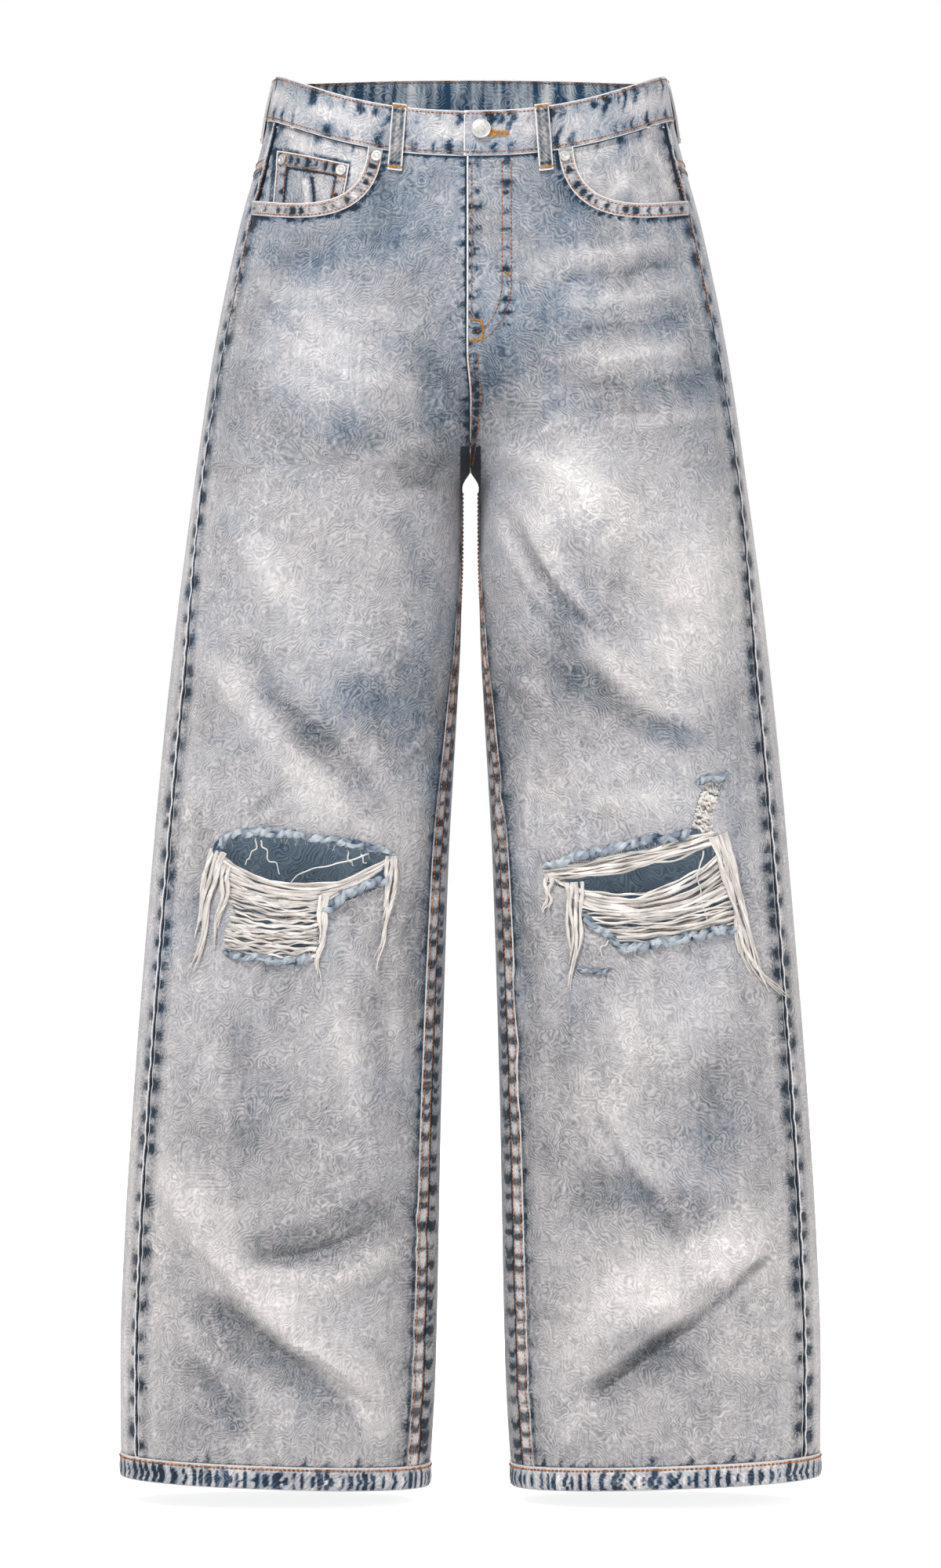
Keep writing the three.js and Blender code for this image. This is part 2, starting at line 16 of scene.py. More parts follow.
import bpy
import numpy as np
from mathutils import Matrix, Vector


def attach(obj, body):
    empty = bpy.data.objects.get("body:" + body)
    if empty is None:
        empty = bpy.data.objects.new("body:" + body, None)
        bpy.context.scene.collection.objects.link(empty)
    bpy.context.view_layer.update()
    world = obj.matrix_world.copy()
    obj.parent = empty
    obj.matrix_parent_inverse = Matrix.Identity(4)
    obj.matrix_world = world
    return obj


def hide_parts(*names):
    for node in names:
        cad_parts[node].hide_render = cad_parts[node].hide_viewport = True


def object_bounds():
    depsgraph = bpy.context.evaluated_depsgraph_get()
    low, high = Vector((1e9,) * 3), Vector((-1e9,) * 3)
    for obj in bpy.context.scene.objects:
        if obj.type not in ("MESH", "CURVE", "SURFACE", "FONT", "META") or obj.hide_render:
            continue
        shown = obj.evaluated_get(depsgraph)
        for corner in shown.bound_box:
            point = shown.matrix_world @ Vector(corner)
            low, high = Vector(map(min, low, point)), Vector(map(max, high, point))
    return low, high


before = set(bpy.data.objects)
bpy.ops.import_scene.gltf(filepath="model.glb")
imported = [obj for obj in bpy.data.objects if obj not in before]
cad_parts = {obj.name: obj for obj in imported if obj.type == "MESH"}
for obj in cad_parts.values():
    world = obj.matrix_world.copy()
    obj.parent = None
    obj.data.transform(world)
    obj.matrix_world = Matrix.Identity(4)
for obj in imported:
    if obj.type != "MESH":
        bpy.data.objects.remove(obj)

CAD_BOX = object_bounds()
MM = 0.001
BODY = "root"
log = logging.getLogger("jeans")

Array = np.ndarray
Point = tuple[float, float]
Attributes = dict[str, Array]


class Side(Enum):
    """The wearer's right or left."""

    RIGHT = "right"
    LEFT = "left"

    @property
    def sign(self) -> int:
        """The sign of x on this side."""
        return -1 if self is Side.RIGHT else 1

    @property
    def number(self) -> int:
        """0 for the right and 1 for the left."""
        return int(self is Side.LEFT)


class Face(Enum):
    """The front or the back of the garment."""

    FRONT = "front"
    BACK = "back"

    @property
    def number(self) -> int:
        """0 for the front and 1 for the back."""
        return int(self is Face.BACK)


# ---------------------------------------------------------------- small maths


def smooth(t: Array) -> Array:
    """Eases t from 0 to 1, level at both ends."""
    t = np.clip(t, 0.0, 1.0)
    return t * t * (3.0 - 2.0 * t)


def mix(a: Array, b: Array, t: Array) -> Array:
    """The value a share t of the way from a to b."""
    return a + (b - a) * t


def unit(vectors: Array) -> Array:
    """The vectors along the last axis, at length 1."""
    length = np.linalg.norm(vectors, axis=-1, keepdims=True)
    return vectors / np.maximum(length, 1e-9)


def bell(distance: Array, width: float) -> Array:
    """A soft bump of height 1 that has fallen to a third at the width."""
    return np.exp(-((distance / width) ** 2))


def run_of(points: Array, axis: int = 0) -> Array:
    """The length from the first point to each one, along an axis of a line or a grid of points."""
    steps = np.linalg.norm(np.diff(points, axis=axis), axis=-1)
    start = np.zeros_like(np.take(steps, [0], axis=axis))
    return np.concatenate([start, np.cumsum(steps, axis=axis)], axis=axis)


def lift_off(place: Callable[[Array | float], Array], offset: Array | float) -> tuple[Array, Array]:
    """Points lifted off the cloth, and the way out of it at each.

    Args:
        place: Gives the points at an offset.
        offset: How far out of the cloth they lie.

    Returns:
        The points, and the ways out at length 1.
    """
    points = place(offset)
    return points, unit(place(offset + 1.0) - points)


@dataclass(frozen=True)
class Profile:
    """A smooth curve through stations that never overshoots them."""

    stations: tuple[Point, ...]

    def __call__(self, z: Array) -> Array:
        """The curve's value.

        Args:
            z: Where to read it, within or past the stations.

        Returns:
            The value at each z, held level past the ends.
        """
        zs, values = np.array(self.stations, dtype=float).T
        rise = np.diff(values) / np.diff(zs)
        before = np.concatenate([rise[:1], rise])
        after = np.concatenate([rise, rise[-1:]])
        same = before * after > 0
        total = np.where(same, before + after, 1.0)
        slope = np.where(same, 2.0 * before * after / total, 0.0)
        z = np.asarray(z, dtype=float)
        i = np.clip(np.searchsorted(zs, z, side="right") - 1, 0, len(zs) - 2)
        span = zs[i + 1] - zs[i]
        t = np.clip((z - zs[i]) / span, 0.0, 1.0)
        tangents = slope[i] * (t - 2.0 * t * t + t**3) + slope[i + 1] * (t**3 - t * t)
        return mix(values[i], values[i + 1], smooth(t)) + span * tangents


class Noise:
    """Smooth seeded noise from -1 to 1, the same on every run."""

    SIZE = 64

    def __init__(self, seed: int) -> None:
        """Draws the lattice for one seed."""
        self.lattice = np.random.default_rng(seed).uniform(-1.0, 1.0, (self.SIZE, self.SIZE))

    def __call__(self, u: Array, v: Array | float = 0.0) -> Array:
        """The noise at a point, one lattice cell to each unit of u and v."""
        u, v = np.broadcast_arrays(np.asarray(u, dtype=float), np.asarray(v, dtype=float))
        i, j = np.floor(u).astype(int), np.floor(v).astype(int)
        s, t = smooth(u - i), smooth(v - j)
        i0, j0 = i % self.SIZE, j % self.SIZE
        i1, j1 = (i + 1) % self.SIZE, (j + 1) % self.SIZE
        grid = self.lattice
        return mix(mix(grid[i0, j0], grid[i1, j0], s), mix(grid[i0, j1], grid[i1, j1], s), t)


def soften(line: Sequence[Point], rounds: int = 2) -> Array:
    """A polyline with its corners cut, so that it runs as a soft curve.

    Args:
        line: Its corners, in any number of dimensions.
        rounds: How often the corners are cut.

    Returns:
        The denser line, with the same two ends.
    """
    points = np.array(line, dtype=float)
    for _ in range(rounds if len(points) > 2 else 0):
        near = 0.75 * points[:-1] + 0.25 * points[1:]
        far = 0.25 * points[:-1] + 0.75 * points[1:]
        inner = np.stack([near, far], axis=1).reshape(-1, points.shape[1])
        points = np.concatenate([points[:1], inner[1:-1], points[-1:]])
    return points


def respace(points: Array, step: float) -> Array:
    """The same line with evenly spaced points about a step apart."""
    run = run_of(points)
    count = max(2, int(round(run[-1] / step)) + 1)
    at = np.linspace(0.0, run[-1], count)
    return np.stack([np.interp(at, run, points[:, k]) for k in range(points.shape[1])], axis=1)


def to_line(line: Array, x: Array, z: Array) -> tuple[Array, Array, Array]:
    """How points lie from a line.

    Args:
        line: The line's points.
        x: The points' first coordinate.
        z: The points' second coordinate.

    Returns:
        The distance, the share of the line's length at the nearest place, and the distance with a sign:
        positive on the left of the line's run.
    """
    best = np.full(np.shape(x), np.inf)
    along = np.zeros(np.shape(x))
    signed = np.zeros(np.shape(x))
    run = run_of(line)
    run = run / max(run[-1], 1e-9)
    for k in range(len(line) - 1):
        (x0, z0), (x1, z1) = line[k], line[k + 1]
        dx, dz = x1 - x0, z1 - z0
        t = np.clip(((x - x0) * dx + (z - z0) * dz) / max(dx * dx + dz * dz, 1e-9), 0.0, 1.0)
        distance = np.hypot(x - x0 - t * dx, z - z0 - t * dz)
        nearer = distance < best
        best = np.where(nearer, distance, best)
        along = np.where(nearer, run[k] + t * (run[k + 1] - run[k]), along)
        turn = np.sign(dx * (z - z0) - dz * (x - x0))
        signed = np.where(nearer, distance * turn, signed)
    return best, along, signed


def inside(outline: Array, x: Array, z: Array) -> Array:
    """Whether points lie within a closed outline."""
    odd = np.zeros(np.shape(x), dtype=bool)
    for (x0, z0), (x1, z1) in zip(outline, np.roll(outline, -1, axis=0)):
        crosses = (z0 > z) != (z1 > z)
        reach = x0 + (z - z0) * (x1 - x0) / (z1 - z0 if z1 != z0 else 1e-9)
        odd ^= crosses & (x < reach)
    return odd


# ---------------------------------------------------------------- the worn form


@dataclass(frozen=True)
class Crease:
    """A soft ridge or trough of the cloth, along a line.

    Attributes:
        line: Its points on a leg.
        height: Its height, negative for a trough.
        width: Its half-width on the left of its run.
        back: Its half-width on the right of its run, if that differs.
    """

    line: tuple[Point, ...]
    height: float
    width: float
    back: float | None = None

    def relief(self, x: Array, z: Array) -> Array:
        """The crease's height at each point."""
        points = soften(self.line)
        reach = 2.6 * max(self.width, self.back or 0.0)
        low, high = points.min(axis=0) - reach, points.max(axis=0) + reach
        near = (x > low[0]) & (x < high[0]) & (z > low[1]) & (z < high[1])
        height = np.zeros(np.shape(x))
        if not near.any():
            return height
        distance, along, signed = to_line(points, x[near], z[near])
        width = np.where(signed >= 0, self.width, self.back or self.width)
        ends = smooth(along * 4.0) * smooth((1.0 - along) * 4.0)
        height[near] = self.height * ends * bell(distance, width)
        return height


CREASES: dict[tuple[Side, Face], tuple[Crease, ...]] = {
    (Side.RIGHT, Face.FRONT): (
        Crease(((242, -838), (212, -890), (160, -950), (66, -1030)), 10.0, 11, 26),
        Crease(((214, -932), (172, -972), (140, -992), (72, -1040)), -8.0, 15, 9),
        Crease(((196, -906), (150, -912), (102, -900), (50, -870)), -7.0, 10, 15),
        Crease(((204, -440), (176, -486), (136, -540), (92, -592)), 6.0, 10, 22),
        Crease(((176, -430), (152, -486), (112, -520), (66, -570)), -6.0, 14, 9),
        Crease(((236, -830), (222, -885), (182, -930)), 2.5, 9),
        Crease(((174, -450), (157, -481), (134, -494), (94, -530), (56, -574)), -4.0, 3.4),
        Crease(((182, -444), (164, -472), (142, -484), (102, -520), (66, -562)), 2.2, 3.6),
        Crease(((176, -362), (160, -392), (118, -440)), 3.0, 6, 10),
        Crease((
            (222, -892), (190, -932), (166, -961), (148, -980), (110, -998), (84, -1020), (52, -1044),
        ), -5.6, 3.4),
        Crease((
            (230, -884), (198, -923), (173, -952), (154, -971), (116, -988), (90, -1010), (60, -1034),
        ), 3.0, 3.8),
        Crease(((184, -914), (150, -914), (114, -906), (84, -896), (54, -884)), -4.0, 4.0),
        Crease(((180, -904), (150, -903), (112, -896), (82, -886), (56, -875)), 2.0, 4.0),
        Crease(((150, -930), (100, -935), (50, -905)), 3.0, 10),
        Crease(((120, -1000), (80, -1030), (52, -1058)), 3.5, 9),
        Crease(((225, -985), (190, -1020), (172, -1062)), -3.0, 12),
        Crease(((170, -352), (154, -390), (130, -420)), 3.0, 12),
        Crease(((60, -338), (42, -372), (26, -412)), -3.0, 10),
        Crease(((94, -455), (64, -505), (38, -556)), -3.0, 12),
        Crease(((8, -290), (34, -316), (62, -330)), -2.6, 6),
        Crease(((10, -284), (50, -292), (110, -322)), 2.2, 8),
        Crease(((8, -262), (46, -246), (104, -236)), 1.8, 7),
        Crease(((14, -236), (66, -206), (128, -196)), -1.8, 8),
        Crease(((96, -150), (134, -150), (170, -136)), -1.6, 7),
        Crease(((88, -172), (130, -176), (178, -166)), 1.6, 7),
        Crease(((104, -690), (92, -760), (88, -830)), 2.2, 12),
        Crease(((186, -700), (170, -780), (176, -850)), -2.4, 14),
        Crease(((56, -640), (60, -720), (50, -790)), 2.0, 9),
        Crease(((210, -560), (206, -620), (214, -690)), -2.0, 10),
        Crease(((120, -560), (96, -574), (60, -590)), 2.0, 8),
        Crease(((130, -690), (150, -720), (150, -760)), -1.6, 8),
    ),
    (Side.LEFT, Face.FRONT): (
        Crease(((242, -886), (202, -914), (138, -952), (66, -1008)), 10.0, 11, 26),
        Crease(((81, -1029), (114, -1002), (134, -982), (157, -969), (188, -955)), -5.6, 3.4),
        Crease(((80, -1018), (110, -993), (130, -973), (154, -960), (184, -946)), 3.0, 3.8),
        Crease(((176, -960), (198, -940), (214, -921), (236, -904)), -3.8, 3.6),
        Crease(((80, -758), (118, -830), (166, -882), (206, -908)), 4.5, 8, 14),
        Crease(((85, -776), (106, -822), (134, -864), (154, -894), (178, -902)), -4.6, 3.6),
        Crease(((95, -774), (115, -816), (142, -856), (162, -884), (188, -894)), 2.4, 3.8),
        Crease(((38, -340), (60, -388), (84, -414), (106, -434)), 3.2, 3.0),
        Crease(((34, -344), (52, -384), (80, -420), (104, -440), (140, -478), (166, -508)), -4.0, 3.2),
        Crease(((22, -363), (50, -418), (96, -469), (142, -497)), -3.4, 3.2),
        Crease(((196, -948), (166, -966), (125, -990), (80, -1030)), -8.0, 15, 9),
        Crease(((70, -860), (130, -858), (160, -878), (204, -900)), -7.0, 12, 15),
        Crease(((27, -322), (64, -380), (110, -452), (166, -510)), 5.5, 8, 15),
        Crease(((54, -452), (96, -482), (140, -506), (186, -530)), -5.0, 12, 9),
        Crease(((20, -328), (54, -388), (96, -452)), -3.4, 9),
        Crease(((17, -336), (36, -380), (50, -420)), 3.0, 7),
        Crease(((58, -370), (92, -420), (126, -452)), -3.0, 8),
        Crease(((96, -470), (130, -492), (186, -500)), 3.0, 8),
        Crease(((9, -292), (40, -300), (96, -322)), 2.2, 8),
        Crease(((8, -272), (54, -262), (120, -262)), -1.8, 7),
        Crease(((60, -150), (110, -146), (168, -130)), 3.4, 6),
        Crease(((58, -166), (112, -163), (172, -148)), -3.2, 5),
        Crease(((62, -184), (114, -183), (176, -168)), 3.4, 6),
        Crease(((66, -203), (118, -204), (180, -190)), -3.2, 5),
        Crease(((60, -222), (114, -226), (184, -212)), 3.2, 6),
        Crease(((70, -244), (122, -250), (188, -238)), -2.8, 6),
        Crease(((90, -268), (136, -276), (192, -262)), 2.6, 7),
        Crease(((196, -905), (160, -930), (110, -950)), -2.0, 7),
        Crease(((161, -978), (178, -1004), (194, -1030)), -3.0, 6),
        Crease(((120, -1000), (88, -1030), (60, -1060)), 3.0, 9),
        Crease(((110, -700), (124, -770), (112, -840)), 2.2, 12),
        Crease(((196, -730), (182, -800), (196, -860)), -2.4, 14),
        Crease(((60, -660), (62, -740), (56, -820)), 2.0, 10),
        Crease(((86, -560), (120, -566), (166, -556)), 1.8, 9),
        Crease(((216, -520), (206, -600), (214, -670)), -1.8, 10),
    ),
    (Side.RIGHT, Face.BACK): (
        Crease(((60, -690), (120, -760), (200, -800)), 5.0, 18),
        Crease(((60, -360), (120, -400), (190, -400)), -5.0, 15),
        Crease(((12, -330), (70, -352), (150, -350)), 3.0, 9),
        Crease(((30, -380), (90, -420), (170, -440)), 3.0, 10),
        Crease(((70, -640), (130, -650), (200, -636)), 3.0, 10),
        Crease(((64, -664), (128, -690), (196, -690)), -3.0, 9),
        Crease(((60, -900), (130, -960), (220, -985)), 4.5, 15),
        Crease(((70, -940), (130, -990), (200, -1020)), -3.5, 12),
        Crease(((60, -480), (80, -540), (76, -600)), 2.4, 12),
        Crease(((190, -470), (176, -540), (182, -600)), -2.4, 13),
    ),
    (Side.LEFT, Face.BACK): (
        Crease(((60, -700), (130, -745), (210, -820)), 5.0, 18),
        Crease(((60, -355), (120, -390), (195, -410)), -5.0, 15),
        Crease(((12, -326), (74, -346), (156, -340)), 3.0, 9),
        Crease(((34, -384), (96, -428), (176, -436)), 3.0, 10),
        Crease(((74, -634), (136, -652), (204, -644)), 3.0, 10),
        Crease(((66, -668), (132, -684), (200, -700)), -3.0, 9),
        Crease(((64, -890), (136, -950), (216, -1000)), 4.5, 15),
        Crease(((74, -944), (134, -986), (206, -1030)), -3.5, 12),
        Crease(((64, -490), (84, -550), (72, -606)), 2.4, 12),
        Crease(((186, -480), (172, -546), (186, -610)), -2.4, 13),
    ),
}


def fine_wrinkles(seed: int, face: Face, count: int = 46) -> tuple[Crease, ...]:
    """Small sharp wrinkles: towards the crotch on the hips, slanting on the thigh and shin, upright between.

    Args:
        seed: Where they fall.
        face: The face that they are on.
        count: How many there are.

    Returns:
        The wrinkles.
    """
    draw = np.random.default_rng(seed)
    wrinkles = []
    for _ in range(count):
        z = draw.uniform(-1050, -140)
        x = draw.uniform(24, 130 + 0.11 * -z)
        if z > -330:
            turn = math.atan2(-300 - z, -x) + draw.normal(0, 0.22)
        elif z > -560:
            turn = draw.normal(-0.85 if face is Face.FRONT else -0.4, 0.3)
        elif z > -820:
            turn = draw.normal(-1.5, 0.35)
        else:
            turn = draw.normal(0.75, 0.35)
        long, bend = draw.uniform(12, 38), draw.normal(0, 5)
        dx, dz = math.cos(turn), math.sin(turn)
        line = (
            (x - dx * long, z - dz * long), (x - dz * bend, z + dx * bend), (x + dx * long, z + dz * long),
        )
        height = draw.choice([-1.0, 1.0]) * draw.uniform(0.9, 1.9)
        wrinkles.append(Crease(line, height, draw.uniform(2.6, 5.0)))
    return tuple(wrinkles)


class CreaseMap:
    """The creases of one face, worked out once on a fine lattice and read between its points."""

    STEP = 0.8
    LOW = (-30.0, -1125.0)
    HIGH = (320.0, 60.0)

    def __init__(self, creases: Sequence[Crease]) -> None:
        """Adds up the creases.

        Args:
            creases: The face's creases.
        """
        spans = [np.arange(low, high, self.STEP) for low, high in zip(self.LOW, self.HIGH)]
        x, z = np.meshgrid(*spans, indexing="ij")
        self.height = sum(crease.relief(x, z) for crease in creases)

    def __call__(self, x: Array, z: Array) -> Array:
        """The creases' height at each point."""
        spots = []
        for place, low, count in zip((x, z), self.LOW, self.height.shape):
            step = np.clip((place - low) / self.STEP, 0.0, count - 1.001)
            whole = step.astype(int)
            spots.append((whole, step - whole))
        (i, s), (j, t) = spots
        grid = self.height
        near = mix(grid[i, j], grid[i + 1, j], s)
        return mix(near, mix(grid[i, j + 1], grid[i + 1, j + 1], s), t)


CREASE_MAPS = {
    place: CreaseMap(creases + fine_wrinkles(400 + number, place[1]))
    for number, (place, creases) in enumerate(CREASES.items())
}


@dataclass(frozen=True)
class WornForm:
    """The shape of the cloth, as it hangs filled out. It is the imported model's own."""

    outer_side: Profile = Profile((
        (-1090, 272), (-1000, 272.5), (-900, 269), (-790, 262), (-670, 252.5), (-550, 242),
        (-430, 229.5), (-306, 213.5), (-215, 200), (-120, 180.5), (-38, 158.5), (12, 149),
    ))
    leg_inner_side: Profile = Profile((
        (-1090, 32), (-1000, 27), (-790, 22.5), (-610, 17), (-500, 11), (-430, 7.5), (-360, 6.5),
        (-318, 6.5), (-306, 0),
    ))
    front_face: Profile = Profile((
        (-1090, -72), (-900, -75), (-700, -80), (-550, -85), (-430, -90), (-306, -98), (-215, -110),
        (-120, -112), (-38, -103), (12, -97),
    ))
    back_face: Profile = Profile((
        (-1090, 76), (-900, 78), (-700, 80), (-550, 85), (-430, 97), (-306, 114), (-215, 125),
        (-120, 119), (-38, 104), (12, 97),
    ))
    outseam: Profile = Profile(((-1090, -30), (-500, -30), (-300, -23), (-120, -19), (12, -18)))
    inseam: Profile = Profile(((-1090, -155.5), (-610, -160.5), (-430, -171), (-370, -178), (-306, -180)))
    crotch: float = -306.0
    merged: float = -120.0
    roundness: float = 2.3
    front_dip: float = -36.0
    back_rise: float = 11.0
    hem_cant: float = 4.0
    fly_edge: float = -3.0
    fly_end: float = -214.0
    fly_raise: float = 1.4
    fly_width: float = 31.0
    seam_gap: float = 0.15

    def inner_side(self, z: Array) -> Array:
        """The inner side of a section: past the middle line above the crotch, where the halves merge."""
        t = np.clip((z - self.crotch) / (self.merged - self.crotch), 0.0, 1.0)
        merge = smooth(t) + 0.45 * (t - 2.0 * t * t + t**3)
        return np.where(z <= self.crotch, self.leg_inner_side(z), -self.outer_side(z) * merge)

    def section(self, z: Array) -> tuple[Array, Array, Array, Array]:
        """A section's middle x and y, half-width and half-depth, at each height."""
        outer, inner = self.outer_side(z), self.inner_side(z)
        front, back = self.front_face(z), self.back_face(z)
        return (outer + inner) / 2, (front + back) / 2, (outer - inner) / 2, (back - front) / 2

    def relief(self, side: Side, deep: Array, x: Array, z: Array) -> Array:
        """The height of all the creases at each point, on the face that it is on."""
        total = np.zeros(np.shape(x))
        for face, on_face in ((Face.FRONT, deep < 0), (Face.BACK, deep >= 0)):
            if not on_face.any():
                continue
            total[on_face] = CREASE_MAPS[side, face](x[on_face], z[on_face])
        return total

    def skin(self, side: Side, angle: Array, z: Array) -> Array:
        """Points of the cloth's outer face, on the +X side.

        Args:
            side: Whose creases to use.
            angle: The angle round the section: 0 is the outer side and -90 degrees the front.
            z: The section's height.

        Returns:
            The points, with their coordinates last.
        """
        angle, z = np.broadcast_arrays(np.asarray(angle, dtype=float), np.asarray(z, dtype=float))
        middle_x, middle_y, half_width, half_depth = self.section(z)
        c, s = np.cos(angle), np.sin(angle)
        across = np.sign(c) * np.abs(c) ** (2 / self.roundness)
        deep = np.sign(s) * np.abs(s) ** (2 / self.roundness)
        tilt = np.where(deep < 0, self.front_dip * np.abs(deep) ** 2.4, self.back_rise * deep * deep)
        cant = self.hem_cant * across * smooth((-800 - z) / 290)
        x = middle_x + half_width * across
        y = middle_y + half_depth * deep
        height = z + tilt * smooth((z + 260) / 222) + cant
        away = unit(np.stack([across / half_width, deep / half_depth, np.zeros_like(x)], axis=-1))
        fold = self.relief(side, deep, np.atleast_1d(x), np.atleast_1d(height)).reshape(x.shape)
        fold = fold * smooth((np.abs(deep) - 0.1) / 0.4)
        return np.stack([x, y, height], axis=-1) + away * fold[..., None]

    def cloth(self, side: Side, angle: Array, z: Array, offset: Array | float = 0.0) -> Array:
        """Points moved off the cloth's outer face along its normal, on their own side of the garment."""
        point = self.skin(side, angle, z)
        normal = self.normal(side, angle, z)
        point = point + normal * np.asarray(offset, dtype=float)[..., None]
        return point * np.array([side.sign, 1, 1])

    def normal(self, side: Side, angle: Array, z: Array) -> Array:
        """The outward normals of the skin, on the +X side."""
        round_ = self.skin(side, angle + 0.01, z) - self.skin(side, angle - 0.01, z)
        up = self.skin(side, angle, z + 0.8) - self.skin(side, angle, z - 0.8)
        return unit(np.cross(round_, up))

    def angle_at(self, x: Array, z: Array, face: Face) -> Array:
        """The angle at which a section reaches a distance from the middle line."""
        middle_x, _, half_width, _ = self.section(z)
        across = np.clip((x - middle_x) / half_width, -1.0, 1.0)
        angle = np.arccos(np.sign(across) * np.abs(across) ** (self.roundness / 2))
        return -angle if face is Face.FRONT else angle

    def place(self, side: Side, face: Face, x: Array, z: Array) -> tuple[Array, Array]:
        """The angle and section height of what the front or back view shows at [x, z]."""
        x, z = np.asarray(x, dtype=float), np.asarray(z, dtype=float)
        row = z.copy()
        for _ in range(8):
            row = row + z - self.skin(side, self.angle_at(x, row, face), row)[..., 2]
        return self.angle_at(x, row, face), row

    def at(self, side: Side, face: Face, x: Array, z: Array, offset: Array | float = 0.0) -> Array:
        """Points of the cloth seen at [x, z] in the front or back view, moved outward by the offset."""
        angle, row = self.place(side, face, x, z)
        lift = self.fly_lift(side, face, np.asarray(x, dtype=float), row)
        return self.cloth(side, angle, row, np.asarray(offset, dtype=float) + lift)

    def fly_lift(self, side: Side, face: Face, x: Array, z: Array) -> Array:
        """How far the left front stands proud along the fly."""
        if side is Side.RIGHT or face is Face.BACK:
            return np.zeros(np.broadcast_shapes(np.shape(x), np.shape(z)))
        over = smooth((self.fly_width + 6 - x) / 12) * smooth((z - self.fly_end + 12) / 24)
        return self.fly_raise * over

    def oval(self, angle: Array, z: Array, offset: Array | float) -> Array:
        """Points of the waist's one oval, the angle running right round from the left half."""
        turn = np.mod(np.degrees(angle) + 90.0, 360.0)
        left = self.cloth(Side.LEFT, np.radians(turn - 90.0), z, offset)
        right = self.cloth(Side.RIGHT, np.radians(270.0 - turn), z, offset)
        return np.where((turn <= 180.0)[..., None], left, right)

    def middle_angle(self, side: Side, face: Face, z: Array) -> Array:
        """The angle of a panel's middle edge: the fly or the centre seam, and then the inseam."""
        fly = self.fly_edge * smooth((z - self.fly_end + 45) / 45) if face is Face.FRONT else 0.0 * z
        above = self.angle_at(side.sign * fly + self.seam_gap, z, face)
        gap = self.seam_gap / self.section(z)[3]
        front = np.radians(self.inseam(z)) + gap
        below = front if face is Face.FRONT else 2 * math.pi + front - 2 * gap
        return np.where(z > self.crotch, above, below)

    def side_angle(self, face: Face, z: Array) -> Array:
        """The angle of a panel's outer edge, at the outseam."""
        gap = self.seam_gap / self.section(z)[3]
        return np.radians(self.outseam(z)) + (-gap if face is Face.FRONT else gap)


FORM = WornForm()


# ---------------------------------------------------------------- meshes


@dataclass
class Cloth:
    """A sheet of points with what is painted on it.

    Attributes:
        points: Rows and columns of points, in millimetres.
        uv: Each point's place on the flat cloth, in millimetres.
        outward: Roughly the way the right side faces, for each point.
        paint: Named values at each point.
    """

    points: Array
    uv: Array
    outward: Array
    paint: Attributes = field(default_factory=dict)

    def facing(self) -> "Cloth":
        """The same sheet with its columns turned if its right side would face inwards."""
        along = np.gradient(self.points, axis=1)
        up = np.gradient(self.points, axis=0)
        facing = np.sum(np.cross(along, up) * self.outward)
        if facing >= 0:
            return self
        paint = {name: values[:, ::-1] for name, values in self.paint.items()}
        return Cloth(self.points[:, ::-1], self.uv[:, ::-1], self.outward[:, ::-1], paint)


def read_out(items: bpy.types.bpy_prop_collection, key: str, width: int = 1, kind: type = float) -> Array:
    """One value of every item of a mesh, such as its vertices' places.

    Args:
        items: The vertices, edges, loops or faces.
        key: The value's name.
        width: How many numbers the value has.
        kind: The kind of number.

    Returns:
        A row for each item.
    """
    values = np.empty(len(items) * width, dtype=kind)
    items.foreach_get(key, values)
    return values.reshape(-1, width) if width > 1 else values


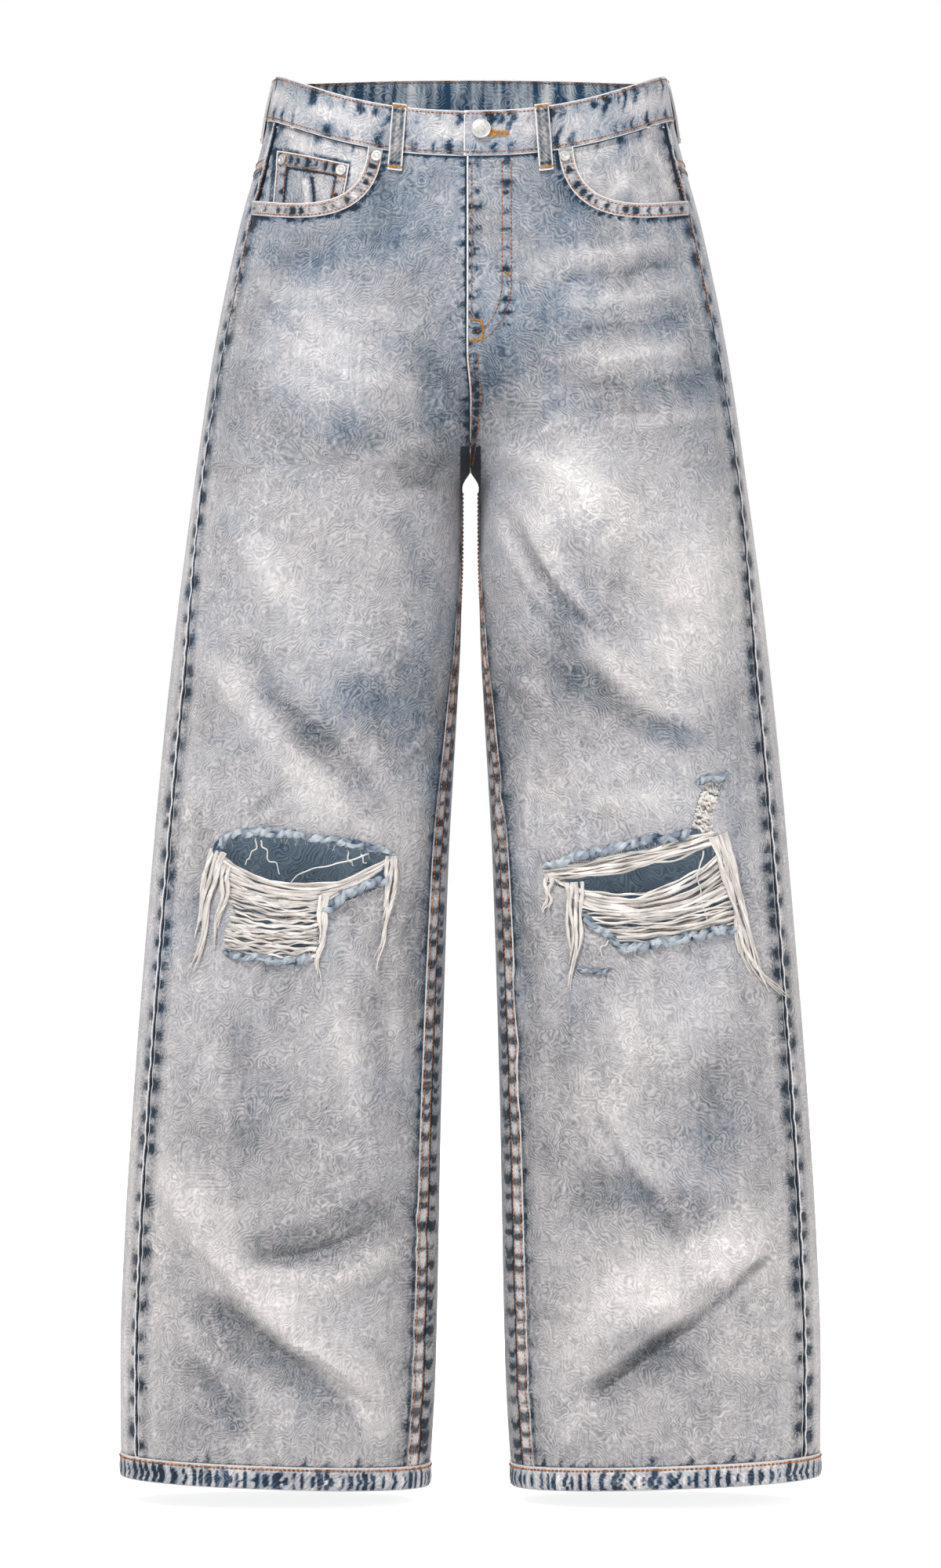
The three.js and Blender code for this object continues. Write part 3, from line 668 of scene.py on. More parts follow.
class Workshop:
    """Makes meshes with Blender's own operators."""

    @staticmethod
    def clear() -> None:
        """Leaves nothing selected, in object mode."""
        if bpy.context.object and bpy.context.object.mode != "OBJECT":
            bpy.ops.object.mode_set(mode="OBJECT")
        bpy.ops.object.select_all(action="DESELECT")

    @staticmethod
    def take(piece: bpy.types.Object) -> None:
        """Makes one piece the only selected one."""
        Workshop.clear()
        bpy.context.view_layer.objects.active = piece
        piece.select_set(True)

    @staticmethod
    @contextmanager
    def editing(piece: bpy.types.Object) -> Iterator[None]:
        """Edit mode on one piece, with all of it selected, while the block runs."""
        Workshop.take(piece)
        bpy.ops.object.mode_set(mode="EDIT")
        bpy.ops.mesh.select_all(action="SELECT")
        yield
        bpy.ops.object.mode_set(mode="OBJECT")

    @staticmethod
    def paint(mesh: bpy.types.Mesh, values: Attributes) -> None:
        """Paints named values on a mesh's points."""
        for key, numbers in values.items():
            layer = mesh.attributes.new(key, "FLOAT", "POINT")
            layer.data.foreach_set("value", np.ascontiguousarray(numbers, dtype=np.float32))

    @staticmethod
    def name(piece: bpy.types.Object, name: str) -> bpy.types.Object:
        """Names a piece and its mesh."""
        piece.name = name
        piece.data.name = name
        return piece

    @staticmethod
    def apply(piece: bpy.types.Object, kind: str, **settings: object) -> None:
        """Adds one modifier with its settings and applies it."""
        Workshop.take(piece)
        modifier = piece.modifiers.new(kind.title(), kind)
        for key, value in settings.items():
            setattr(modifier, key, value)
        bpy.ops.object.modifier_apply(modifier=modifier.name)

    @staticmethod
    def sheet(name: str, cloth: Cloth, closed: bool = False) -> bpy.types.Object:
        """A grid laid into the cloth's shape.

        Args:
            name: The piece's name.
            cloth: Its points, flat places and paint.
            closed: Whether its first and last columns meet and are joined.

        Returns:
            The piece, one layer thick, its right side outwards.
        """
        cloth = cloth.facing()
        rows, columns = cloth.points.shape[:2]
        Workshop.clear()
        bpy.ops.mesh.primitive_grid_add(x_subdivisions=columns - 1, y_subdivisions=rows - 1, size=2)
        piece = Workshop.name(bpy.context.object, name)
        mesh = piece.data
        flat = read_out(mesh.vertices, "co", 3)
        i = np.rint((flat[:, 0] + 1) / 2 * (columns - 1)).astype(int)
        j = np.rint((flat[:, 1] + 1) / 2 * (rows - 1)).astype(int)
        mesh.vertices.foreach_set("co", (cloth.points[j, i] * MM).ravel())
        Workshop.paint(mesh, {key: values[j, i] for key, values in cloth.paint.items()})
        loops = read_out(mesh.loops, "vertex_index", kind=int)
        uv = mesh.uv_layers.active or mesh.uv_layers.new()
        uv.name = "cloth"
        uv.data.foreach_set("uv", np.ascontiguousarray(cloth.uv[j, i][loops] * MM).ravel())
        mesh.update()
        if closed:
            with Workshop.editing(piece):
                bpy.ops.mesh.remove_doubles(threshold=0.05 * MM)
        return piece

    @staticmethod
    def thicken(piece: bpy.types.Object, thickness: float) -> None:
        """Gives a sheet its thickness, inwards from its right side, its inside in its second material."""
        Workshop.apply(
            piece, "SOLIDIFY", thickness=thickness * MM, offset=-1.0, use_quality_normals=True,
            material_offset=1, material_offset_rim=0,
        )

    @staticmethod
    def shade(piece: bpy.types.Object, degrees: float = 50.0) -> None:
        """Shades a piece smooth, but for edges sharper than the angle."""
        Workshop.take(piece)
        bpy.ops.object.shade_smooth_by_angle(angle=math.radians(degrees))

    @staticmethod
    def open_up(piece: bpy.types.Object, hole: Array, side: Side) -> None:
        """Cuts a hole in a front sheet, its edge drawn onto the outline.

        Args:
            piece: A sheet still one layer thick.
            hole: The outline on a leg, in the front view.
            side: The leg.
        """
        mesh = piece.data
        where = read_out(mesh.polygons, "center", 3) / MM
        doomed = inside(hole, where[:, 0] * side.sign, where[:, 2]) & (where[:, 1] < 10)
        Workshop.take(piece)
        bpy.ops.object.mode_set(mode="EDIT")
        bpy.ops.mesh.select_all(action="DESELECT")
        bpy.ops.mesh.select_mode(type="FACE")
        bpy.ops.object.mode_set(mode="OBJECT")
        mesh.polygons.foreach_set("select", doomed)
        bpy.ops.object.mode_set(mode="EDIT")
        bpy.ops.mesh.delete(type="FACE")
        bpy.ops.object.mode_set(mode="OBJECT")
        Workshop.draw_to_edge(piece, hole, side)

    @staticmethod
    def draw_to_edge(piece: bpy.types.Object, hole: Array, side: Side, reach: float = 3.4) -> None:
        """Moves the free edge near an outline onto it."""
        mesh = piece.data
        uses = np.bincount(read_out(mesh.loops, "edge_index", kind=int), minlength=len(mesh.edges))
        rim = np.unique(read_out(mesh.edges, "vertices", 2, int)[uses == 1])
        points = read_out(mesh.vertices, "co", 3) / MM
        x, z = points[rim, 0] * side.sign, points[rim, 2]
        dense = respace(np.concatenate([hole, hole[:1]]), 0.8)
        gap = np.hypot(x[:, None] - dense[None, :, 0], z[:, None] - dense[None, :, 1])
        nearest = gap.argmin(axis=1)
        near = (gap.min(axis=1) < reach) & (points[rim, 1] < 10)
        target = dense[nearest[near]]
        points[rim[near]] = FORM.at(side, Face.FRONT, target[:, 0], target[:, 1])
        mesh.vertices.foreach_set("co", (points * MM).ravel())
        mesh.update()

    @staticmethod
    def joined(name: str, points: Array, faces: list, shade: Array) -> bpy.types.Object:
        """One smooth mesh of many small bodies, set where their points say.

        Args:
            name: The piece's name.
            points: All the bodies' points, in millimetres.
            faces: Their faces, by point.
            shade: The thread's shade at each point.

        Returns:
            The piece.
        """
        mesh = bpy.data.meshes.new(name)
        mesh.from_pydata((points * MM).tolist(), [], faces)
        Workshop.paint(mesh, {"shade": shade})
        mesh.update()
        piece = bpy.data.objects.new(name, mesh)
        bpy.context.scene.collection.objects.link(piece)
        Workshop.take(piece)
        bpy.ops.object.shade_smooth()
        return piece


@dataclass(frozen=True)
class Strand:
    """One soft thread or roll: its line, in millimetres, its radii along it, and its shade."""

    line: Array
    radius: Array
    shade: float | Array = 0.5


class Sweep:
    """Turns strands into closed tubes of one mesh."""

    def __init__(self, sides: int = 5) -> None:
        """Sets how many sides a tube has."""
        self.sides = sides

    def tube(self, strand: Strand) -> tuple[Array, Array]:
        """One tube's points and faces, closed at both ends."""
        line = strand.line
        along = unit(np.gradient(line, axis=0))
        first = unit(np.cross(along, np.array([0.0, 1.0, 0.0])) + 1e-6)
        second = np.cross(along, first)
        turn = np.linspace(0, 2 * math.pi, self.sides, endpoint=False)
        ring = np.cos(turn)[None, :, None] * first[:, None] + np.sin(turn)[None, :, None] * second[:, None]
        radius = strand.radius.reshape(len(line), -1)
        points = (line[:, None] + ring * radius[..., None]).reshape(-1, 3)
        count = len(line)
        faces = []
        for k in range(count - 1):
            for j in range(self.sides):
                a, b = k * self.sides + j, k * self.sides + (j + 1) % self.sides
                faces.append((a, b, b + self.sides, a + self.sides))
        points = np.concatenate([points, line[:1], line[-1:]])
        start, end = count * self.sides, count * self.sides + 1
        last = (count - 1) * self.sides
        for j in range(self.sides):
            faces.append((start, (j + 1) % self.sides, j, start))
            faces.append((end, last + j, last + (j + 1) % self.sides, end))
        return points, np.array(faces)

    def make(self, name: str, strands: Iterable[Strand]) -> bpy.types.Object:
        """All the strands as one piece, with a shade at each point."""
        points, faces, shade = [], [], []
        base = 0
        for strand in strands:
            p, f = self.tube(strand)
            points.append(p)
            faces.append(f + base)
            values = np.broadcast_to(np.asarray(strand.shade, dtype=float), (len(strand.line),))
            shade.append(np.concatenate([np.repeat(values, self.sides), values[:1], values[-1:]]))
            base += len(p)
        clean = [tuple(dict.fromkeys(face)) for face in np.concatenate(faces).tolist()]
        piece = Workshop.joined(name, np.concatenate(points), clean, np.concatenate(shade))
        with Workshop.editing(piece):
            bpy.ops.mesh.normals_make_consistent(inside=False)
        return piece


# ---------------------------------------------------------------- materials


def linear(red: int, green: int, blue: int) -> tuple[float, float, float, float]:
    """A colour as shaders take it, from its 8-bit screen values."""
    parts = [c / 255 for c in (red, green, blue)]
    values = [c / 12.92 if c <= 0.04045 else ((c + 0.055) / 1.055) ** 2.4 for c in parts]
    return (values[0], values[1], values[2], 1.0)


Socket = bpy.types.NodeSocket


def new_material(name: str) -> tuple[bpy.types.Material, "Graph", bpy.types.Node]:
    """A new material, its node tree and its shader."""
    material = bpy.data.materials.new(name)
    material.use_nodes = True
    return material, Graph(material.node_tree), material.node_tree.nodes["Principled BSDF"]


class Graph:
    """A short way to write a node tree."""

    def __init__(self, tree: bpy.types.NodeTree) -> None:
        """Wraps a tree."""
        self.tree = tree

    def node(self, kind: str, **settings: object) -> bpy.types.Node:
        """Adds a node and sets its properties."""
        node = self.tree.nodes.new(kind)
        for key, value in settings.items():
            setattr(node, key, value)
        return node

    def feed(self, socket: Socket, value: object) -> None:
        """Links a socket to a value's socket, or sets it to a constant."""
        if isinstance(value, bpy.types.NodeSocket):
            self.tree.links.new(value, socket)
        else:
            socket.default_value = value

    @staticmethod
    def fix(node: bpy.types.Node, values: dict[str, object]) -> None:
        """Sets a node's sockets to constants."""
        for name, value in values.items():
            node.inputs[name].default_value = value

    def group(self, tree: bpy.types.NodeTree, **values: object) -> bpy.types.Node:
        """Places a node group and feeds its inputs."""
        node = self.node("ShaderNodeGroup", node_tree=tree)
        for name, value in values.items():
            self.feed(node.inputs[name], value)
        return node

    def math(self, operation: str, a: object, b: object = 0.0, c: object = 0.0) -> Socket:
        """One step of arithmetic."""
        node = self.node("ShaderNodeMath", operation=operation)
        for socket, value in zip(node.inputs, (a, b, c)):
            self.feed(socket, value)
        return node.outputs[0]

    def add(self, *values: object) -> Socket:
        """The sum of several values."""
        total = values[0]
        for value in values[1:]:
            total = self.math("ADD", total, value)
        return total

    def scaled(self, value: object, factor: object) -> Socket:
        """A value times a factor."""
        return self.math("MULTIPLY", value, factor)

    def span(
        self, value: object, low: float, high: float, to_low: float = 0.0, to_high: float = 1.0,
    ) -> Socket:
        """A value eased from one range to another and held within it."""
        node = self.node("ShaderNodeMapRange", interpolation_type="SMOOTHSTEP")
        for socket, number in zip(node.inputs, (value, low, high, to_low, to_high)):
            self.feed(socket, number)
        return node.outputs[0]

    def noise(self, vector: Socket, scale: float, detail: float = 2.0, rough: float = 0.5) -> Socket:
        """Noise from 0 to 1."""
        node = self.node("ShaderNodeTexNoise")
        self.feed(node.inputs["Vector"], vector)
        self.fix(node, {"Scale": scale, "Detail": detail, "Roughness": rough})
        return node.outputs["Fac"]

    def swing(self, vector: Socket, scale: float, detail: float = 2.0, rough: float = 0.5) -> Socket:
        """Noise from -0.5 to 0.5."""
        return self.math("SUBTRACT", self.noise(vector, scale, detail, rough), 0.5)

    def stretch(self, vector: Socket, scale: tuple[float, float, float]) -> Socket:
        """Coordinates scaled along each axis."""
        node = self.node("ShaderNodeMapping")
        self.feed(node.inputs["Vector"], vector)
        node.inputs["Scale"].default_value = scale
        return node.outputs["Vector"]

    def ramp(self, value: object, stops: Sequence[tuple[float, tuple[float, ...]]]) -> Socket:
        """A colour read off a ramp."""
        node = self.node("ShaderNodeValToRGB")
        elements = node.color_ramp.elements
        while len(elements) < len(stops):
            elements.new(0.5)
        for element, (place, colour) in zip(elements, stops):
            element.position = place
            element.color = colour
        self.feed(node.inputs[0], value)
        return node.outputs["Color"]

    def blend(self, factor: object, a: object, b: object, how: str = "MIX") -> Socket:
        """Two colours mixed."""
        node = self.node("ShaderNodeMix", data_type="RGBA", blend_type=how)
        self.feed(node.inputs["Factor"], factor)
        self.feed(node.inputs["A"], a)
        self.feed(node.inputs["B"], b)
        return node.outputs["Result"]

    def paint(self, name: str) -> Socket:
        """A value painted on the mesh."""
        return self.node("ShaderNodeAttribute", attribute_name=name, attribute_type="GEOMETRY").outputs["Fac"]

    def bump(self, shader: bpy.types.Node, height: Socket, strength: float, depth: float) -> None:
        """Gives a shader relief, its depth in millimetres."""
        node = self.node("ShaderNodeBump")
        self.fix(node, {"Strength": strength, "Distance": depth * MM})
        self.feed(node.inputs["Height"], height)
        self.feed(shader.inputs["Normal"], node.outputs["Normal"])


class GroupMaker:
    """Starts a shader node group with named inputs and outputs."""

    def __init__(self, name: str, takes: dict[str, tuple[str, object]], gives: dict[str, str]) -> None:
        """Makes the group.

        Args:
            name: The group's name.
            takes: Each input's name, with its kind of socket and its usual value.
            gives: Each output's name, with its kind of socket.
        """
        self.tree = bpy.data.node_groups.new(name, "ShaderNodeTree")
        for key, (kind, value) in takes.items():
            socket = self.tree.interface.new_socket(key, in_out="INPUT", socket_type=kind)
            if value is not None:
                socket.default_value = value
        for key, kind in gives.items():
            self.tree.interface.new_socket(key, in_out="OUTPUT", socket_type=kind)
        self.graph = Graph(self.tree)
        self.start = self.graph.node("NodeGroupInput")
        self.end = self.graph.node("NodeGroupOutput")

    def take(self, name: str) -> Socket:
        """One of the group's inputs."""
        return self.start.outputs[name]

    def give(self, name: str, value: Socket) -> None:
        """Sends a value to one of the group's outputs."""
        self.graph.feed(self.end.inputs[name], value)


VALUE = "NodeSocketFloat"
VECTOR = "NodeSocketVector"
COLOUR = "NodeSocketColor"


def twill_group() -> bpy.types.NodeTree:
    """The worn twill: diagonal ribs that wander in swirls, and the grain of the yarns.

    Returns:
        A group that takes a place on the cloth and gives the ribs, the grain and their height.
    """
    made = GroupMaker(
        "Worn twill",
        {"Place": (VECTOR, None), "Swirl": (VALUE, 10.0)},
        {"Ribs": VALUE, "Grain": VALUE, "Height": VALUE},
    )
    g = made.graph
    place = made.take("Place")
    parts = g.node("ShaderNodeSeparateXYZ")
    g.feed(parts.inputs[0], place)
    diagonal = g.scaled(g.add(parts.outputs[0], parts.outputs[1]), 230.0)
    wander = g.scaled(g.noise(place, 62.0, 1.0, 0.4), made.take("Swirl"))
    ribs = g.math("SINE", g.scaled(g.add(diagonal, wander), 2 * math.pi))
    curls = g.math("SINE", g.scaled(g.noise(place, 105.0, 0.0), 2 * math.pi * 7.0))
    curled = g.span(g.noise(place, 44.0, 1.0), 0.46, 0.56)
    fine = g.noise(place, 900.0, 2.0, 0.6)
    patchy = g.span(g.noise(place, 60.0, 2.0), 0.35, 0.65, 0.45, 1.0)
    lines = g.add(g.scaled(ribs, g.math("SUBTRACT", 1.0, curled)), g.scaled(curls, curled))
    worn = g.scaled(lines, patchy)
    made.give("Ribs", worn)
    made.give("Grain", fine)
    made.give("Height", g.add(g.scaled(worn, 0.5), fine))
    return made.tree


def wash_group() -> bpy.types.NodeTree:
    """The acid wash: turns how pale a place is, its fading and its painted shade, into the colour of pale
    marbled denim.

    Returns:
        A group that takes the fade with its painted shade, the tone from grey-beige to blue, the seam marks
        with their painted shadows and the distance to a worn edge, and gives the colour.
    """
    made = GroupMaker(
        "Acid wash",
        {
            "Place": (VECTOR, None),
            "Fade": (VALUE, 0.6),
            "Tone": (VALUE, 0.0),
            "Marks": (VALUE, 0.0),
            "Edge": (VALUE, 50.0),
            "Ribs": (VALUE, 0.0),
            "Grain": (VALUE, 0.5),
        },
        {"Color": COLOUR, "Lightness": VALUE},
    )
    g = made.graph
    place = made.take("Place")
    clouds = g.swing(place, 16.0, 3.0, 0.55)
    mottle = g.swing(place, 85.0, 3.0, 0.6)
    streaks = g.swing(g.stretch(place, (1.0, 0.16, 1.0)), 260.0, 2.0, 0.6)
    ragged = g.scaled(g.swing(place, 420.0, 2.0, 0.6), 0.55)
    dark = g.span(g.add(made.take("Marks"), ragged), 0.10, 0.85)
    light = g.span(g.math("SUBTRACT", ragged, made.take("Marks")), 0.12, 0.7)
    flecks = g.swing(place, 330.0, 2.0, 0.6)
    lines = g.math("ABSOLUTE", g.swing(place, 40.0))
    veins = g.scaled(g.span(lines, 0.0, 0.022, 1.0, 0.0), g.span(g.noise(place, 13.0, 1.0), 0.47, 0.62))
    worn_edge = g.span(g.add(made.take("Edge"), g.scaled(ragged, 1.4)), 0.5, 1.5, 1.0, 0.0)
    fade = g.add(
        made.take("Fade"),
        g.scaled(clouds, 0.13),
        g.scaled(mottle, 0.27),
        g.scaled(streaks, 0.24),
        g.scaled(flecks, 0.32),
        g.scaled(veins, 0.13),
        g.scaled(made.take("Ribs"), 0.105),
        g.scaled(g.math("SUBTRACT", made.take("Grain"), 0.5), 0.48),
        g.scaled(dark, -0.60),
        g.scaled(light, 0.26),
    )
    lightness = g.math("MAXIMUM", fade, g.scaled(worn_edge, 0.93))
    cool = g.ramp(lightness, (
        (0.0, linear(24, 42, 60)), (0.16, linear(58, 80, 103)), (0.32, linear(108, 124, 142)),
        (0.48, linear(150, 156, 167)), (0.66, linear(185, 185, 190)), (0.84, linear(215, 212, 213)),
        (1.0, linear(238, 236, 234)),
    ))
    warm = g.ramp(lightness, (
        (0.0, linear(30, 41, 54)), (0.16, linear(68, 78, 90)), (0.32, linear(114, 117, 121)),
        (0.48, linear(154, 151, 153)), (0.66, linear(187, 183, 184)), (0.84, linear(217, 211, 210)),
        (1.0, linear(240, 237, 234)),
    ))
    tone_shift = g.scaled(g.swing(place, 24.0), 1.3)
    tone = g.span(g.add(made.take("Tone"), tone_shift), -0.7, 0.7)
    made.give("Color", g.blend(tone, warm, cool))
    made.give("Lightness", lightness)
    return made.tree


@dataclass(frozen=True)
class DenimFinish:
    """Pale acid-washed twill.

    Attributes:
        name: The material's name.
        fade: Added to the painted fade, which holds painted highlight and shade as well as the fading.
        tone: Added to the painted tone.
        swirl: How far the ribs wander.
        bump: The relief of the ribs and grain.
    """

    name: str
    fade: float = 0.0
    tone: float = 0.0
    swirl: float = 10.0
    bump: float = 0.5

    def build(self, twill: bpy.types.NodeTree, wash: bpy.types.NodeTree) -> bpy.types.Material:
        """The material, with its groups placed and fed."""
        material, g, shader = new_material(self.name)
        place = g.node("ShaderNodeUVMap", uv_map="cloth").outputs["UV"]
        weave = g.group(twill, Place=place, Swirl=self.swirl)
        colour = g.group(
            wash, Place=place, Fade=g.add(g.paint("fade"), self.fade), Tone=g.add(g.paint("tone"), self.tone),
            Marks=g.paint("marks"), Edge=g.paint("edge"), Ribs=weave.outputs["Ribs"],
            Grain=weave.outputs["Grain"],
        )
        g.feed(shader.inputs["Base Color"], colour.outputs["Color"])
        g.feed(shader.inputs["Roughness"], g.span(weave.outputs["Grain"], 0.2, 0.8, 0.78, 0.95))
        g.bump(shader, weave.outputs["Height"], self.bump, 0.5)
        g.fix(shader, {"Sheen Weight": 0.12, "Sheen Roughness": 0.5, "Specular IOR Level": 0.25})
        return material


@dataclass(frozen=True)
class WrongSideFinish:
    """The wrong side of the twill, less faded, with paler ribs across it.

    Attributes:
        name: The material's name.
        dark: The colour between the ribs.
        pale: The colour of the ribs.
        roped: How strongly seam puckers show through as upright stripes.
    """

    name: str
    dark: tuple[int, int, int] = (38, 54, 68)
    pale: tuple[int, int, int] = (112, 126, 138)
    roped: float = 0.0

    def build(self, twill: bpy.types.NodeTree) -> bpy.types.Material:
        """The material."""
        material, g, shader = new_material(self.name)
        place = g.node("ShaderNodeUVMap", uv_map="cloth").outputs["UV"]
        weave = g.group(twill, Place=place)
        stripes = g.swing(g.stretch(place, (1.0, 0.12, 1.0)), 110.0)
        cloud = g.noise(place, 22.0, 3.0, 0.6)
        value = g.add(
            g.scaled(weave.outputs["Ribs"], 0.16),
            g.scaled(weave.outputs["Grain"], 0.35),
            g.scaled(cloud, 0.7),
            g.scaled(stripes, self.roped),
            -0.1,
        )
        stops = [(0.15, linear(*self.dark)), (0.85, linear(*self.pale))]
        if self.roped:
            stops.append((1.0, linear(224, 222, 220)))
        g.feed(shader.inputs["Base Color"], g.ramp(value, stops))
        g.fix(shader, {"Roughness": 0.92, "Specular IOR Level": 0.2})
        g.bump(shader, weave.outputs["Height"], 0.35, 0.5)
        return material


@dataclass(frozen=True)
class ThreadFinish:
    """Twisted thread, varied a little from strand to strand.

    Attributes:
        name: The material's name.
        dark: The colour of the darkest strands.
        pale: The colour of the palest.
        twist: How fine the relief of the twist is.
    """

    name: str
    dark: tuple[int, int, int]
    pale: tuple[int, int, int]
    twist: float = 900.0

    def build(self) -> bpy.types.Material:
        """The material."""
        material, g, shader = new_material(self.name)
        place = g.node("ShaderNodeTexCoord").outputs["Object"]
        fuzz = g.noise(place, 1400.0, 2.0, 0.6)
        worn = g.noise(place, 90.0, 2.0, 0.5)
        value = g.add(g.scaled(g.paint("shade"), 0.6), g.scaled(fuzz, 0.3), g.scaled(worn, 0.5), -0.2)
        stops = ((0.1, linear(*self.dark)), (0.9, linear(*self.pale)))
        g.feed(shader.inputs["Base Color"], g.ramp(value, stops))
        g.fix(shader, {"Roughness": 0.85, "Specular IOR Level": 0.25})
        g.bump(shader, g.noise(place, self.twist, 1.0), 0.5, 0.2)
        return material


@dataclass(frozen=True)
class MetalFinish:
    """Pale brushed metal of the button and rivets."""

    name: str
    dark: tuple[int, int, int] = (174, 170, 163)
    pale: tuple[int, int, int] = (226, 224, 221)
    rough: float = 0.42

    def build(self) -> bpy.types.Material:
        """The material."""
        material, g, shader = new_material(self.name)
        place = g.node("ShaderNodeTexCoord").outputs["Object"]
        scuff = g.noise(place, 700.0, 4.0, 0.65)
        tarnish = g.noise(place, 160.0, 2.0, 0.5)
        stops = ((0.25, linear(*self.dark)), (0.7, linear(*self.pale)))
        value = g.add(g.scaled(scuff, 0.5), g.scaled(tarnish, 0.6))
        g.feed(shader.inputs["Base Color"], g.ramp(value, stops))
        g.feed(shader.inputs["Roughness"], g.span(scuff, 0.3, 0.7, self.rough - 0.08, self.rough + 0.16))
        g.fix(shader, {"Metallic": 0.6})
        g.bump(shader, scuff, 0.12, 0.1)
        return material


class Palette:
    """Every material of the garment, made once."""

    def __init__(self) -> None:
        """Builds the groups and the materials."""
        twill, wash = twill_group(), wash_group()
        self.denim = DenimFinish("Pale washed denim").build(twill, wash)
        self.strip = DenimFinish("Roped seam denim", fade=-0.06, swirl=3.0).build(twill, wash)
        self.wrong = WrongSideFinish("Wrong side of the denim").build(twill)
        lining = WrongSideFinish("Inside of the waistband", (44, 74, 102), (200, 208, 216), 2.6)
        self.band_lining = lining.build(twill)
        self.frayed = ThreadFinish("Frayed indigo edge", (52, 76, 102), (206, 212, 218), 500.0).build()
        self.raw = ThreadFinish("Loose undyed threads", (138, 124, 115), (246, 241, 236)).build()
        self.tan = ThreadFinish("Tan topstitching", (98, 48, 20), (196, 124, 64)).build()
        self.ochre = ThreadFinish("Ochre bar tacks", (128, 76, 24), (222, 158, 66)).build()
        self.metal = MetalFinish("Silver-coloured metal").build()


# ---------------------------------------------------------------- seams and stitches


@dataclass(frozen=True)
class SeamMarks:
    """The dark and light marks that wear leaves along a puckered seam.

    Attributes:
        seed: Where the marks fall.
        start: The first mark's place along the seam.
        end: The last one's.
        spacing: The shortest and longest way between marks.
        width: The narrowest and widest mark's half-width.
        reach: How far the shortest and longest mark reach from the seam.
        strength: The faintest and strongest mark.
        slant: How far a mark leans along the seam, for each millimetre away from it.
    """

    seed: int
    start: float
    end: float
    spacing: Point = (13, 26)
    width: Point = (2.4, 4.6)
    reach: Point = (5, 13)
    strength: Point = (0.5, 1.0)
    slant: float = 0.0

    def at(self, along: Array, away: Array) -> Array:
        """The marks' depth, from 0 to about 1, at places along and away from the seam."""
        draw = np.random.default_rng(self.seed)
        low, high = min(self.start, self.end), max(self.start, self.end)
        total = np.zeros(np.broadcast_shapes(np.shape(along), np.shape(away)))
        place = low + draw.uniform(0, self.spacing[0])
        waver = Noise(self.seed)
        along = along - self.slant * away + 1.6 * waver(along / 12, away / 5)
        away = away + 1.2 * waver(along / 7 + 31, away / 5)
        while place < high:
            width = draw.uniform(*self.width)
            reach = draw.uniform(*self.reach)
            strength = draw.uniform(*self.strength)
            near = np.abs(along - place) < 4.5 * width
            if near.any():
                gap = ((along - place) / width) ** 2
                mark = strength * np.exp(-gap - (away / reach) ** 2)
                halo = 0.42 * strength * np.exp(-gap / 5.0 - (away / (1.7 * reach)) ** 2)
                total = np.where(near, np.maximum(total, np.maximum(mark, halo)), total)
            place += draw.uniform(*self.spacing)
        return total


class Stitching:
    """Rows of stitches, gathered by colour and made as one piece each."""

    def __init__(self) -> None:
        """Starts with none sewn."""
        self.rows: list[tuple[Array, Array, float, float, float]] = []
        self.draw = np.random.default_rng(17)

    def row(
        self, line: Array, normals: Array, pitch: float = 3.3, share: float = 0.82, width: float = 1.15,
    ) -> None:
        """Sews a row along a line.

        Args:
            line: The line's points on the cloth.
            normals: The way out of the cloth at each.
            pitch: From one stitch to the next.
            share: How much of the pitch the thread lies on top.
            width: The thread's width.
        """
        self.rows.append((line, normals, pitch, share, width))

    def make(self, name: str) -> bpy.types.Object:
        """All the rows as one piece."""
        Workshop.clear()
        bpy.ops.mesh.primitive_ico_sphere_add(subdivisions=1, radius=1.0)
        stitch = bpy.context.object
        shape = np.array([v.co[:] for v in stitch.data.vertices])
        faces = np.array([p.vertices[:] for p in stitch.data.polygons])
        bpy.data.objects.remove(stitch)
        points, all_faces, shades = [], [], []
        base = 0
        for line, normals, pitch, share, width in self.rows:
            run = run_of(line)
            count = max(1, int(run[-1] / pitch))
            middle = (np.arange(count) + 0.5) * run[-1] / count
            at = self.read(run, line, middle)
            out = unit(self.read(run, normals, middle))
            ahead = self.read(run, line, middle + 0.4 * pitch) - self.read(run, line, middle - 0.4 * pitch)
            along = unit(ahead - out * np.sum(ahead * out, axis=1, keepdims=True))
            side = np.cross(out, along)
            jitter = self.draw.normal(0, 0.04, (count, 1))
            along, side = unit(along + side * jitter), unit(side - along * jitter)
            long = 0.5 * share * run[-1] / count
            scaled = shape * np.array([long * 1.08, width * 0.5, width * 0.42])
            placed = (
                at[:, None] + scaled[None, :, :1] * along[:, None] + scaled[None, :, 1:2] * side[:, None]
                + scaled[None, :, 2:] * out[:, None]
            )
            points.append(placed.reshape(-1, 3))
            numbers = base + np.arange(count) * len(shape)
            all_faces.append((numbers[:, None, None] + faces[None]).reshape(-1, 3))
            shades.append(np.repeat(self.draw.uniform(0.15, 1.0, count), len(shape)))
            base += count * len(shape)
        return Workshop.joined(
            name, np.concatenate(points), np.concatenate(all_faces).tolist(), np.concatenate(shades),
        )

    @staticmethod
    def read(run: Array, values: Array, at: Array) -> Array:
        """A line's values at lengths along it."""
        at = np.clip(at, 0.0, run[-1])
        return np.stack([np.interp(at, run, values[:, k]) for k in range(3)], axis=1)


def on_cloth(
    side: Side, face: Face, line: Sequence[Point], offset: float, step: float = 3.0,
) -> tuple[Array, Array]:
    """A line drawn on the worn cloth.

    Args:
        side: The leg.
        face: Its front or back.
        line: The line's points as that view shows them.
        offset: How far out of the panel's face it lies.
        step: The distance between the points it gets.

    Returns:
        The line's points and the cloth's normals there.
    """
    flat = respace(np.array(line, dtype=float), step)
    return lift_off(partial(FORM.at, side, face, flat[:, 0], flat[:, 1]), offset)
